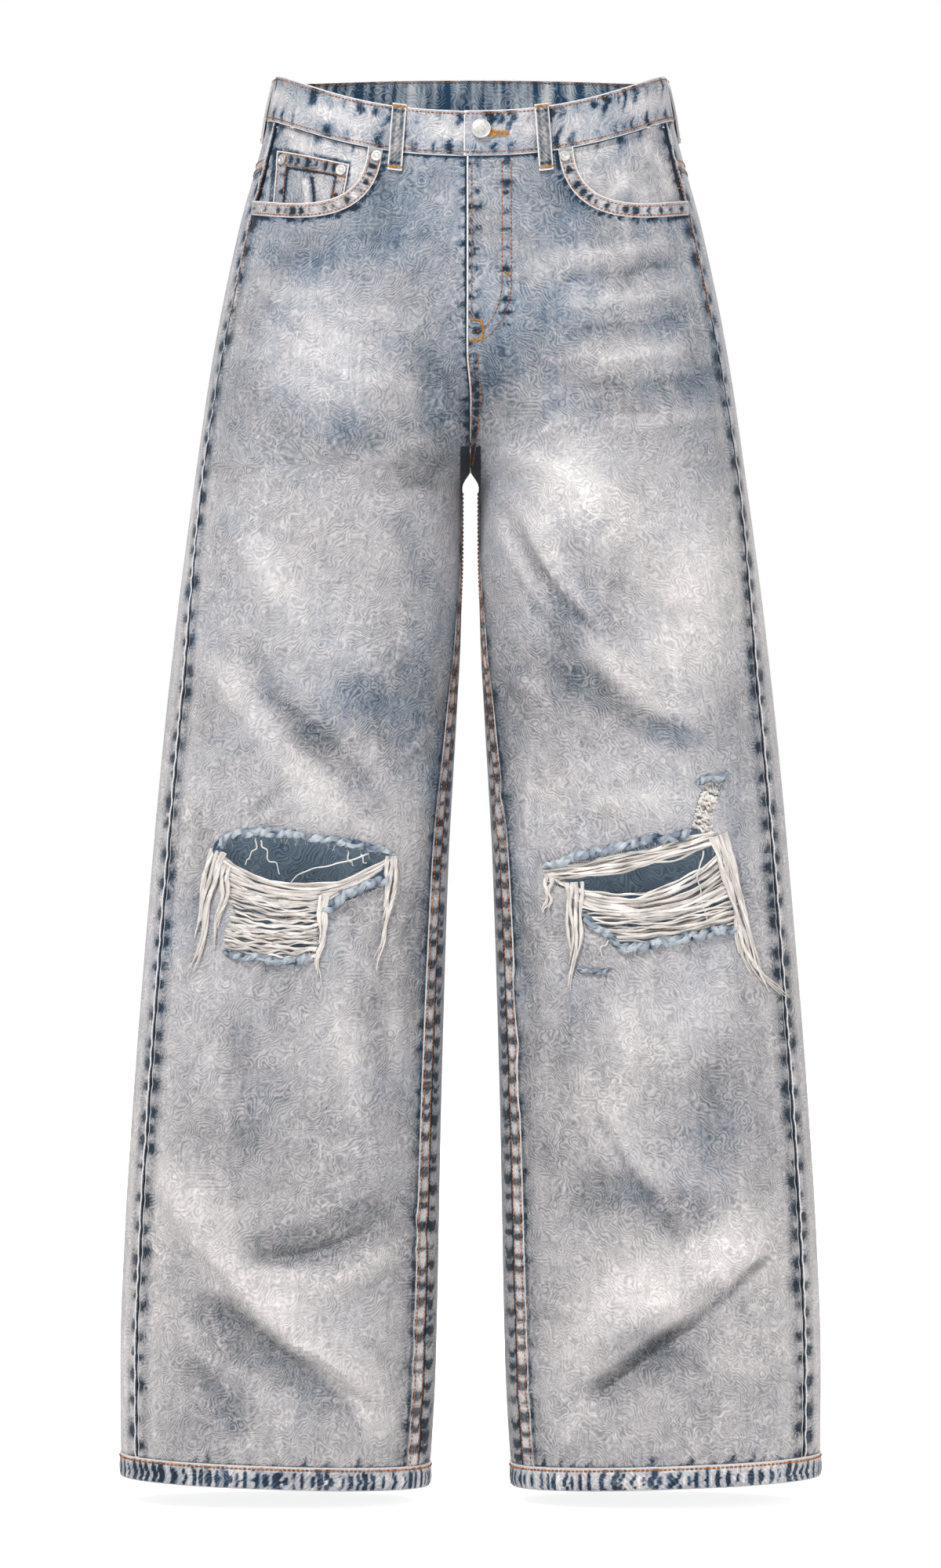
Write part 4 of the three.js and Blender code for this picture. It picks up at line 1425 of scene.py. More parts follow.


# ---------------------------------------------------------------- where the wash is pale or dark, and where shade is painted along the folds


@dataclass(frozen=True)
class Patch:
    """A soft pale or dark place on a panel, mostly of the wash, some along folds painted highlight and shade:
    where, its half-sizes, its strength, its lean in degrees.
    """

    x: float
    z: float
    wide: float
    tall: float
    strength: float
    lean: float = 0.0

    def at(self, x: Array, z: Array) -> Array:
        """The patch's strength at each point."""
        turn = math.radians(self.lean)
        dx, dz = x - self.x, z - self.z
        u = dx * math.cos(turn) + dz * math.sin(turn)
        v = dz * math.cos(turn) - dx * math.sin(turn)
        return self.strength * np.exp(-((u / self.wide) ** 2) - (v / self.tall) ** 2)


class WashAndFoldShade:
    """How pale and how blue the panels are, from place to place: their fading, with highlight and shade
    painted along the folds.
    """

    BASE = Profile((
        (-1090, 0.57), (-1000, 0.57), (-900, 0.55), (-780, 0.52), (-690, 0.54), (-560, 0.57), (-480, 0.55),
        (-400, 0.56), (-320, 0.54), (-260, 0.49), (-180, 0.48), (-100, 0.45), (0, 0.45),
    ))
    TONE = Profile((
        (-1090, -0.66), (-900, -0.58), (-700, -0.35), (-560, -0.3), (-420, -0.2), (-250, -0.05), (0, 0.15),
    ))
    PATCHES: dict[tuple[Side, Face], tuple[Patch, ...]] = {
        (Side.RIGHT, Face.FRONT): (
            Patch(106, -205, 46, 32, 0.24), Patch(90, -256, 36, 30, 0.14), Patch(131, -334, 60, 60, 0.02),
            Patch(119, -405, 48, 60, 0.07), Patch(150, -560, 60, 26, 0.04), Patch(96, -575, 44, 22, 0.03),
            Patch(5, -280, 9, 26, -0.16), Patch(95, -138, 60, 22, -0.09), Patch(24, -250, 26, 50, -0.20),
            Patch(71, -298, 36, 26, -0.14), Patch(90, -489, 60, 30, -0.13, -35),
            Patch(42, -470, 26, 60, -0.12), Patch(70, -100, 24, 26, -0.16), Patch(149, -286, 22, 40, -0.08),
            # Painted highlight and shade: the four patches on the next three lines lie along the lower-leg
            # folds, pale on the ridges, dark in the troughs.
            Patch(150, -958, 60, 16, 0.10, 38), Patch(92, -1012, 46, 12, 0.08, 36),
            Patch(120, -905, 60, 10, -0.07, -12),
            Patch(150, -982, 60, 10, -0.10, 34), Patch(108, -747, 40, 50, 0.10),
            Patch(190, -740, 26, 70, 0.08),
            Patch(62, -720, 20, 70, -0.12), Patch(150, -830, 60, 36, -0.06), Patch(200, -1030, 40, 30, -0.08),
            Patch(34, -560, 14, 90, -0.16), Patch(30, -660, 12, 80, -0.10), Patch(228, -820, 18, 160, 0.06),
        ),
        (Side.LEFT, Face.FRONT): (
            Patch(60, -310, 30, 30, 0.18), Patch(58, -352, 36, 26, 0.05), Patch(92, -336, 34, 30, 0.20),
            Patch(156, -400, 34, 66, 0.24), Patch(138, -567, 60, 26, 0.05), Patch(96, -550, 40, 30, 0.01),
            Patch(5, -280, 9, 26, -0.16), Patch(18, -233, 16, 26, -0.24),
            Patch(72, -96, 24, 26, -0.16), Patch(120, -160, 50, 16, 0.10), Patch(110, -215, 60, 16, 0.06),
            Patch(167, -239, 26, 40, -0.10), Patch(60, -210, 36, 30, -0.10), Patch(28, -525, 16, 80, -0.20),
            Patch(70, -450, 26, 60, -0.14), Patch(120, -480, 60, 16, -0.10, -22),
            Patch(200, -480, 20, 60, -0.06),
            # Painted highlight and shade: the first four patches from here lie along the lower-leg folds,
            # pale on the ridges, dark in the troughs.
            Patch(140, -952, 66, 15, 0.12, -32), Patch(199, -915, 34, 22, 0.10),
            Patch(128, -986, 50, 10, -0.10, -34),
            Patch(134, -868, 62, 10, -0.06), Patch(138, -723, 44, 46, 0.14), Patch(60, -740, 24, 80, -0.08),
            Patch(190, -820, 30, 50, -0.04), Patch(186, -1016, 26, 24, -0.06), Patch(34, -660, 12, 90, -0.12),
        ),
        (Side.RIGHT, Face.BACK): (
            Patch(90, -210, 60, 70, 0.20), Patch(120, -420, 60, 90, 0.14), Patch(110, -640, 60, 40, 0.10),
            # Painted shade and highlight: the second patch on this line lies in a fold's trough, the patch on
            # the next line on a fold's ridge.
            Patch(40, -330, 26, 40, -0.20), Patch(130, -700, 60, 18, -0.12, 20),
            Patch(140, -950, 60, 20, 0.16, 30),
            Patch(60, -500, 24, 90, -0.14), Patch(200, -560, 30, 80, -0.08), Patch(90, -800, 40, 60, -0.06),
        ),
        (Side.LEFT, Face.BACK): (
            Patch(92, -206, 60, 72, 0.20), Patch(124, -430, 60, 84, 0.14), Patch(116, -630, 60, 40, 0.10),
            # Painted shade and highlight: the second patch on this line lies in a fold's trough, the patch on
            # the next line on a fold's ridge.
            Patch(42, -334, 26, 40, -0.20), Patch(134, -704, 60, 18, -0.12, -20),
            Patch(136, -944, 60, 20, 0.16, -30),
            Patch(58, -510, 24, 90, -0.14), Patch(204, -550, 30, 80, -0.08), Patch(96, -812, 40, 60, -0.06),
        ),
    }

    def __init__(self) -> None:
        """Draws the noise that breaks up the patches' edges."""
        self.noise = Noise(5)
        self.tone_noise = Noise(8)

    def fade(self, side: Side, face: Face, x: Array, z: Array) -> Array:
        """How pale the cloth is, about 0 for indigo and 1 for white: its fading, with painted highlight on
        the creases' ridges and painted shade in their troughs.
        """
        bend_x = x + 16 * self.noise(x / 46, z / 46)
        bend_z = z + 16 * self.noise(x / 46 + 20, z / 46 + 9)
        total = self.BASE(z)
        for patch in self.PATCHES[side, face]:
            total = total + patch.at(bend_x, bend_z)
        total = total + 0.035 * self.noise(x / 30 + 7 * side.sign, z / 30) + 0.03 * self.noise(x / 11, z / 11)
        if face is Face.BACK:
            total = total + 0.13 * smooth((x - FORM.outer_side(z) + 24) / 18)
        # Painted highlight on the crease ridges and painted shade in their troughs, which strengthen the
        # folds.
        return total + 0.15 * np.tanh(CREASE_MAPS[side, face](x, z) / 2.8)

    def tone(self, side: Side, x: Array, z: Array) -> Array:
        """How blue the cloth is, from -1 for grey-beige to 1."""
        return self.TONE(z) + 0.36 * self.tone_noise(x / 60 + 11 * side.sign, z / 60)


WASH_AND_FOLD_SHADE = WashAndFoldShade()


# ---------------------------------------------------------------- the ripped knees


@dataclass(frozen=True)
class Lip:
    """A frayed edge that has curled over into a roll: its line, its thickness and how lumpy it is."""

    line: tuple[Point, ...]
    radius: float = 2.6
    lumps: float = 0.45


@dataclass(frozen=True)
class Fringe:
    """A bundle of loose threads that hangs over the cloth.

    Attributes:
        node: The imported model's solid that it stands for, if it has one.
        line: Where it hangs, from the top down.
        width: Its width at the top and at the tip.
        threads: How many threads it has.
    """

    node: str | None
    line: tuple[Point, ...]
    width: Point
    threads: int = 14


@dataclass(frozen=True)
class Band:
    """Weft threads left across a hole.

    Attributes:
        left: Where the threads start, from the top one to the lowest.
        right: Where they end.
        sag: How far the middle of the top and the lowest thread hangs.
        threads: How many there are.
    """

    left: tuple[Point, ...]
    right: tuple[Point, ...]
    sag: Point
    threads: int


@dataclass(frozen=True)
class Rip:
    """One torn knee, in the front view of its leg."""

    hole: tuple[Point, ...]
    bands: tuple[Band, ...]
    lips: tuple[Lip, ...]
    fringes: tuple[Fringe, ...]
    strays: tuple[tuple[Point, ...], ...] = ()


RIPS: dict[Side, Rip] = {
    Side.RIGHT: Rip(
        hole=(
            (194.6, -594.6), (179.6, -586.2), (152.6, -585), (119.6, -591), (89.6, -596), (59.7, -602),
            (57.9, -608), (65.7, -627), (95.6, -639), (114.8, -651), (118.4, -678), (152.6, -682),
            (185.6, -676), (187.4, -663), (179.6, -648), (188.6, -627), (197.6, -609),
        ),
        bands=(
            Band(((194, -602), (188, -626), (184, -632)), ((62, -606), (70, -616), (92, -630)), (22, 12), 15),
            Band(
                ((190, -622), (181, -650), (186, -662)), ((104, -640), (117, -652), (119, -664)),
                (6, 3), 14,
            ),
            Band(
                ((184, -656), (187, -664), (186, -678)), ((118, -662), (118, -670), (119, -681)),
                (3, 2), 12,
            ),
        ),
        lips=(
            Lip(((197, -601), (188, -590), (172, -586), (150, -585), (128, -589)), 3.6, 0.5),
            Lip(((134, -587), (112, -591), (92, -595), (70, -598), (58, -603)), 2.9, 0.5),
            Lip(((62, -619), (76, -626), (92, -632), (106, -641), (114, -649)), 3.8, 0.35),
            Lip(((189, -676), (176, -681), (158, -682), (140, -685), (121, -683)), 2.8, 0.6),
        ),
        fringes=(
            Fringe(
                "fringe_right_1", ((193, -600), (203, -632), (204, -656), (210, -680), (217, -702)),
                (13, 4), 26,
            ),
            Fringe(None, ((186, -612), (188, -632), (192, -652), (196, -676)), (12, 5), 14),
            Fringe("fringe_right_2", ((112, -634), (113, -662), (117, -686), (120, -704)), (11, 4), 18),
            Fringe("fringe_right_3", ((61, -604), (62, -632), (67, -662), (74, -692)), (9, 3), 16),
        ),
        strays=(
            ((164, -590), (166, -600), (172, -612)), ((160, -592), (154, -604), (148, -616)),
            ((78, -602), (96, -610), (116, -612), (128, -618), (142, -626)),
            ((84, -603), (80, -612)), ((94, -600), (92, -608), (88, -614)),
        ),
    ),
    Side.LEFT: Rip(
        hole=(
            (57.9, -612), (96.2, -600), (138.2, -591), (168.2, -584), (170.6, -573), (175.4, -555),
            (189.2, -543), (193.4, -549), (186.2, -567), (182, -585), (187.4, -597), (201.2, -621),
            (204.2, -657), (168.2, -666), (115.4, -676), (105.2, -663), (87.2, -654), (83, -633), (62, -626),
        ),
        bands=(
            Band(((59, -613), (60, -618), (62, -622)), ((184, -586), (183, -592), (183, -597)), (3, 5), 9),
            Band(((62, -620), (76, -630), (84, -640)), ((192, -602), (198, -616), (202, -632)), (24, 16), 16),
            Band(((84, -638), (90, -652), (112, -672)), ((202, -632), (203, -646), (204, -657)), (8, 4), 14),
            Band(
                ((170, -580), (174, -562), (184, -545)), ((184, -586), (186, -568), (192, -549)),
                (1.5, 1), 19,
            ),
        ),
        lips=(
            Lip(((57, -612), (78, -606), (100, -600), (124, -595), (150, -590), (168, -585)), 3.6, 0.4),
            Lip(((112, -676), (134, -674), (158, -668), (182, -663), (204, -660)), 3.4, 0.6),
            Lip(((84, -648), (94, -658), (106, -664), (114, -674)), 2.8, 0.6),
            Lip(((172, -550), (180, -545), (188, -547), (197, -540)), 3.0, 0.5),
            Lip(((82, -690), (94, -693), (108, -690)), 1.9, 0.7),
        ),
        fringes=(
            Fringe("fringe_left_1", ((80, -624), (82, -652), (79, -682), (75, -708)), (13, 5), 24),
            Fringe(None, ((61, -620), (61, -632), (58, -650)), (6, 2.5), 7),
            Fringe(
                "fringe_left_2", ((190, -588), (200, -618), (206, -652), (214, -684), (228, -712)),
                (15, 5), 30,
            ),
            Fringe(None, ((204, -655), (214, -684), (240, -716)), (5, 1.5), 6),
        ),
        strays=(((178, -600), (174, -630), (182, -660)), ((106, -668), (98, -676), (104, -690))),
    ),
}


# ---------------------------------------------------------------- the pieces


class Garment:
    """What every sub-assembly needs: the palette, and one way to hand a piece over."""

    def __init__(self, palette: Palette) -> None:
        """Keeps the palette."""
        self.palette = palette
        self.made: list[bpy.types.Object] = []

    def finish(
        self, piece: bpy.types.Object, materials: Sequence[bpy.types.Material], slot: str,
        nodes: Sequence[str] = (), degrees: float = 50.0,
    ) -> bpy.types.Object:
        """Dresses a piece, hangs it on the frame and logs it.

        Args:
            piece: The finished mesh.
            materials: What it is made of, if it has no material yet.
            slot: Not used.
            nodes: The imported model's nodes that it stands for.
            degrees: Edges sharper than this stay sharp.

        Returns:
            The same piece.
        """
        for material in materials:
            piece.data.materials.append(material)
        Workshop.shade(piece, degrees)
        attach(piece, BODY)
        if nodes:
            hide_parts(*nodes)
        self.made.append(piece)
        log.info("%s: %d faces", piece.name, len(piece.data.polygons))
        return piece

    def sew(
        self, piece: bpy.types.Object, thickness: float, slot: str, nodes: Sequence[str],
        materials: Sequence[bpy.types.Material] = (),
    ) -> bpy.types.Object:
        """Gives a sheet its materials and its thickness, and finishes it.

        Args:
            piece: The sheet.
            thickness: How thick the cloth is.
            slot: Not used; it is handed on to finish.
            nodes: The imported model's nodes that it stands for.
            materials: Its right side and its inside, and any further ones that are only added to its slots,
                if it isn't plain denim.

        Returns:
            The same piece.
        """
        for material in materials or (self.palette.denim, self.palette.wrong):
            piece.data.materials.append(material)
        Workshop.thicken(piece, thickness)
        return self.finish(piece, (), slot, nodes)


@dataclass(frozen=True)
class PanelCut:
    """The flat cut of a panel: its greatest width and length, and its area, in metres."""

    width: float
    length: float
    area: float


class Panels(Garment):
    """The front and back panels and the yokes."""

    THICKNESS = 1.2
    WAIST_SEAM = -35.6
    HEM_SEAM = -1071.7
    FRONT_CUT = PanelCut(0.27, 1.06, 0.225)
    BACK_CUT = PanelCut(0.37, 1.05, 0.32)
    YOKE_CUT = PanelCut(0.25, 0.078, 0.0125)
    YOKE_SIDE = -72.0
    YOKE_CENTRE = -104.0
    SCOOP = ((77, -60), (78, -98), (100, -116), (167, -100))
    MARKS_TOP, MARKS_FOOT, INSEAM_TOP, RISE_FOOT = -60, -1071, -310, -306
    YOKE_REACH = -240.0
    LEFT_STARTS, BACK_STARTS = 900.0, 850.0

    def rows(self, top: float, bottom: float) -> Array:
        """The heights of a panel's rows, close together at the crotch."""
        step = 3.0
        above = np.linspace(top, -286.0, int((top + 286.0) / step) + 1)
        crotch = np.array([-289, -292, -295, -298, -300.5, -302.5, -304, -305.2, -305.9])
        under = np.array([-306.1, -307.5, -309.5, -312, -315])
        legs = np.linspace(-318.0, bottom, int((-318.0 - bottom) / step) + 1)
        return np.concatenate([above, crotch, under, legs])[::-1]

    def columns(self) -> Array:
        """The shares of a panel's width at its columns, close together at the seams."""
        count = 74
        even = np.linspace(0.0, 1.0, count)
        return even - 0.55 * np.sin(2 * math.pi * even) / (2 * math.pi)

    def lay(self, side: Side, face: Face, share: Array, z: Array) -> Cloth:
        """A panel's cloth, its edges sunk into the seams and puckered along them.

        Args:
            side: The leg.
            face: Front or back.
            share: How far across the panel each point is, from the middle edge.
            z: Each point's section height.

        Returns:
            The cloth, with its paint.
        """
        middle, outer = FORM.middle_angle(side, face, z), FORM.side_angle(face, z)
        angle = mix(middle, outer, share)
        base = FORM.skin(side, angle, z)
        normal = FORM.normal(side, angle, z)
        x, height = base[..., 0], base[..., 2]
        across, up = run_of(base, 1), run_of(base, 0)
        to_middle, to_side = across, across[:, -1:] - across
        to_hem, to_top = up, up[-1:] - up
        relief, marks = self.seam_wear(side, face, x, height, z, to_middle, to_side, to_hem, to_top)
        lift = FORM.fly_lift(side, face, x, z) + relief
        points = (base + normal * lift[..., None]) * np.array([side.sign, 1, 1])
        paint = {
            "fade": WASH_AND_FOLD_SHADE.fade(side, face, x, height) + self.seam_fade_and_shade(face, z, to_middle, to_side),
            "tone": WASH_AND_FOLD_SHADE.tone(side, x, height),
            "marks": marks,
            "edge": self.worn_edges(side, face, z, to_middle, to_side),
        }
        start = self.LEFT_STARTS * side.number + self.BACK_STARTS * face.number
        uv = np.stack([across - across[:, -1:] / 2 + start, height], axis=-1)
        return Cloth(points, uv, normal * np.array([side.sign, 1, 1]), paint)

    def seam_wear(
        self, side: Side, face: Face, x: Array, height: Array, z: Array,
        to_middle: Array, to_side: Array, to_hem: Array, to_top: Array,
    ) -> tuple[Array, Array]:
        """The puckers' relief and the marks along every seam of a panel, with painted shade beside the fly,
        at the crotch fork, under the pocket edge and where the panel runs under the waistband and the hem.
        """
        both, top, foot = 2 * side.number + face.number, self.MARKS_TOP, self.MARKS_FOOT
        outseam = SeamMarks(31 + both, foot, top, (13, 25), (3.2, 5.8), (6, 11), (0.9, 1.8))
        outseam = outseam.at(height, to_side)
        relief = -0.9 * bell(to_side, 1.8) - 0.8 * outseam + 0.5 * bell(to_side - 4, 3)
        below = smooth((FORM.crotch - 4 - z) / 10)
        inseam = SeamMarks(41 + both, foot, self.INSEAM_TOP, (9, 18), (1.8, 3.8), (3.5, 7), (0.7, 1.6), 0.45)
        strip = smooth((13.5 - to_middle) / 2.5) * (1.0 if face is Face.FRONT else 0.35)
        inner = inseam.at(height, np.maximum(np.abs(to_middle - 7) - 2, 0)) * below
        panel = SeamMarks(61 + both, foot, self.INSEAM_TOP, (14, 34), (3, 7), (4, 9), (0.2, 0.6))
        inner = np.maximum(inner, panel.at(height, np.abs(to_middle - 16)) * below)
        relief += below * (0.75 * strip - 0.9 * bell(to_middle, 1.3)) - 0.5 * inner * strip
        centre = smooth((z - FORM.crotch) / 8)
        if face is Face.FRONT:
            lower = centre * smooth((FORM.fly_end - z) / 12)
            seam = SeamMarks(51 + side.number, self.RISE_FOOT, top, (8, 15), (1.8, 3.4), (4, 9), (0.5, 1.0))
            middle = seam.at(height, to_middle) * centre
            # A painted shadow on the right front, beside the edge of the fly that laps over it.
            middle = np.maximum(middle, 0.85 * bell(to_middle, 1.3) * centre * (side is Side.RIGHT))
            band = smooth((11.5 - to_middle) / 2.5) * lower * side.number
            roping = SeamMarks(57, -298, FORM.fly_end, (4, 8), (1.0, 1.9), (2.6, 3.8), (0.6, 1.3), 0.5)
            middle = np.maximum(middle, band * roping.at(height, np.abs(to_middle - 6.0)))
            # Painted shade: a dark patch at the crotch fork, standing for the shadowed seat seen between the
            # legs.
            painted_crotch_shade = smooth((8.2 - x) / 1.6) * smooth((-288.5 - height) / 2.0) * smooth((z + 326) / 8)
            middle = np.maximum(middle, 1.4 * painted_crotch_shade)
        else:
            seam = SeamMarks(55 + side.number, self.RISE_FOOT, top, (9, 18), (2.0, 3.6), (5, 10), (0.4, 0.9))
            middle = seam.at(height, np.maximum(to_middle - 6, 0)) * centre
            band = smooth((11.5 - to_middle) / 2.5) * centre * side.number
        relief += 0.7 * band - 0.5 * middle
        other = side.number + 2 * face.number
        hem = SeamMarks(61 + other, -300, 300, (9, 17), (2.2, 4.2), (6, 13), (0.3, 0.75), 0.3).at(x, to_hem)
        waist = SeamMarks(71 + other, -20, 220, (12, 26), (2.5, 5), (5, 12), (0.3, 0.85)).at(x, to_top)
        relief += -0.6 * hem - 0.6 * waist - 0.5 * bell(to_hem, 2.0)
        pocket = self.pocket_shade(side, face, x, height)
        marks = np.maximum.reduce([outseam, inner, middle, hem, waist, pocket])
        pale = SeamMarks(171 + other, -20, 300, (8, 18), (1.2, 2.6), (6, 16), (0.3, 0.8), 0.3)
        marks = marks - 0.8 * np.maximum(pale.at(x, to_hem), pale.at(x, to_top)) * (marks < 0.4)
        # Painted shade where the panel runs under the waistband and under the hem.
        marks = np.maximum(marks, 0.75 * bell(to_top, 1.3) + 0.5 * bell(to_hem, 1.1))
        if side is Side.LEFT and face is Face.FRONT:
            marks = np.maximum(marks, self.fly_marks(x, z, height))
        return relief, marks

    def pocket_shade(self, side: Side, face: Face, x: Array, height: Array) -> Array:
        """The painted shadow line just below a hand pocket's stitched edge, and the roping there."""
        shade = np.zeros(x.shape)
        near = (x > 60) & (x < 175) & (height > -125) & (height < -55)
        if face is Face.BACK or not near.any():
            return shade
        away, along, _ = to_line(self.scoop(), x[near], height[near])
        ticks = SeamMarks(181 + side.number, 0, 160, (4, 8), (1.0, 1.9), (1.5, 4), (0.4, 1.0))
        # A painted shadow line just past the pocket edge strip, and the roping ticks of wear.
        shade[near] = np.maximum(0.8 * bell(away - 11.6, 1.1), ticks.at(along * 150, np.abs(away - 12.5)))
        return shade

    @staticmethod
    def fly_marks(x: Array, z: Array, height: Array) -> Array:
        """The dark marks between the fly's rows of stitches."""
        upper = smooth((z - FORM.fly_end - 6) / 12)
        outer = SeamMarks(81, FORM.fly_end, -60, (7, 15), (1.6, 3.2), (4, 8), (0.5, 1.0))
        inner = SeamMarks(82, FORM.fly_end, -60, (9, 18), (2.0, 4.5), (3, 7), (0.4, 0.9))
        return upper * np.maximum(outer.at(height, np.abs(x - 27)), inner.at(height, np.abs(x - 5)))

    @staticmethod
    def seam_fade_and_shade(face: Face, z: Array, to_middle: Array, to_side: Array) -> Array:
        """The paler bands that rubbing leaves along the seams, and painted shade: dark lines in the seam
        grooves and just beyond the raised inseam strip.
        """
        below = smooth((FORM.crotch - z) / 20)
        # The dark line right at the outseam is painted shade in its groove.
        light = 0.10 * bell(to_side - 4.5, 3.0) + 0.06 * bell(to_side - 16, 9.0) - 0.75 * bell(to_side, 0.9)
        light = light - 0.12 * bell(to_side - 9, 5.0)
        strip = 1.0 if face is Face.FRONT else 0.0
        # Painted shade: the dark line just beyond the raised strip's edge, and the one in the inseam's
        # groove.
        inner = 0.28 * bell(to_middle - 6, 6.0) * strip - 0.30 * bell(to_middle - 15.2, 1.6) * strip
        return light + below * (inner - 0.7 * bell(to_middle, 0.9) - 0.10 * bell(to_middle - 20, 6.0))

    @staticmethod
    def worn_edges(side: Side, face: Face, z: Array, to_middle: Array, to_side: Array) -> Array:
        """How far each point is from an edge worn white."""
        edge = 0.25 + np.abs(to_side - 2.2)
        if face is Face.FRONT:
            strip = np.where(z < FORM.crotch - 4, np.abs(to_middle - 13.2), 50.0)
            edge = np.minimum(edge, 0.2 + strip)
        if side is Side.LEFT and face is Face.FRONT:
            edge = np.where(z > FORM.crotch + 18, np.minimum(0.8 * to_middle, edge), edge)
        return edge

    def scoop(self) -> Array:
        """The hand pocket's opening, up to the waist seam."""
        a, b, c, d = np.array(self.SCOOP, dtype=float)
        t = np.linspace(0, 1, 40)[:, None]
        return (1 - t) ** 3 * a + 3 * t * (1 - t) ** 2 * b + 3 * t * t * (1 - t) * c + t**3 * d

    def panel(
        self, piece: bpy.types.Object, node: str, cut: PanelCut, materials: Sequence[bpy.types.Material] = (),
    ) -> None:
        """Sews a panel."""
        self.sew(piece, self.THICKNESS, "denim_pale", [node], materials)

    def front(self, side: Side) -> None:
        """A front panel, scooped for the hand pocket and torn at the knee."""
        share, z = np.meshgrid(self.columns(), self.rows(self.WAIST_SEAM, self.HEM_SEAM))
        piece = Workshop.sheet(f"front_panel_{side.value}", self.lay(side, Face.FRONT, share, z))
        corner = np.array([[215.0, -97.0], [215.0, 20.0], [77.0, 20.0]])
        Workshop.open_up(piece, np.concatenate([self.scoop(), corner]), side)
        Workshop.open_up(piece, np.array(RIPS[side].hole), side)
        materials = (self.palette.denim, self.palette.wrong, self.palette.frayed)
        self.panel(piece, f"front_{side.value}", self.FRONT_CUT, materials)

    def yoke_line(self, share: Array) -> Array:
        """The height of the yoke's seam across the back."""
        return mix(self.YOKE_CENTRE, self.YOKE_SIDE, share)

    def back(self, side: Side) -> None:
        """A back panel, from the yoke's seam down."""
        share, z = np.meshgrid(self.columns(), self.rows(self.WAIST_SEAM, self.HEM_SEAM))
        top, reach = self.yoke_line(share) - 0.3, self.YOKE_REACH
        z = np.where(z < reach, z, mix(reach, top, (z - reach) / (self.WAIST_SEAM - reach)))
        piece = Workshop.sheet(f"back_panel_{side.value}", self.lay(side, Face.BACK, share, z))
        self.panel(piece, f"back_{side.value}", self.BACK_CUT)

    def yoke(self, side: Side) -> None:
        """The shaped piece between the waistband and the back panel."""
        share, part = np.meshgrid(self.columns(), np.linspace(0, 1, 26))
        z = mix(self.yoke_line(share), self.WAIST_SEAM, part)
        piece = Workshop.sheet(f"back_yoke_{side.value}", self.lay(side, Face.BACK, share, z))
        self.panel(piece, f"yoke_{side.value}", self.YOKE_CUT)

    def build(self) -> None:
        """Makes all the panels."""
        for side in Side:
            self.front(side)
            self.back(side)
            self.yoke(side)


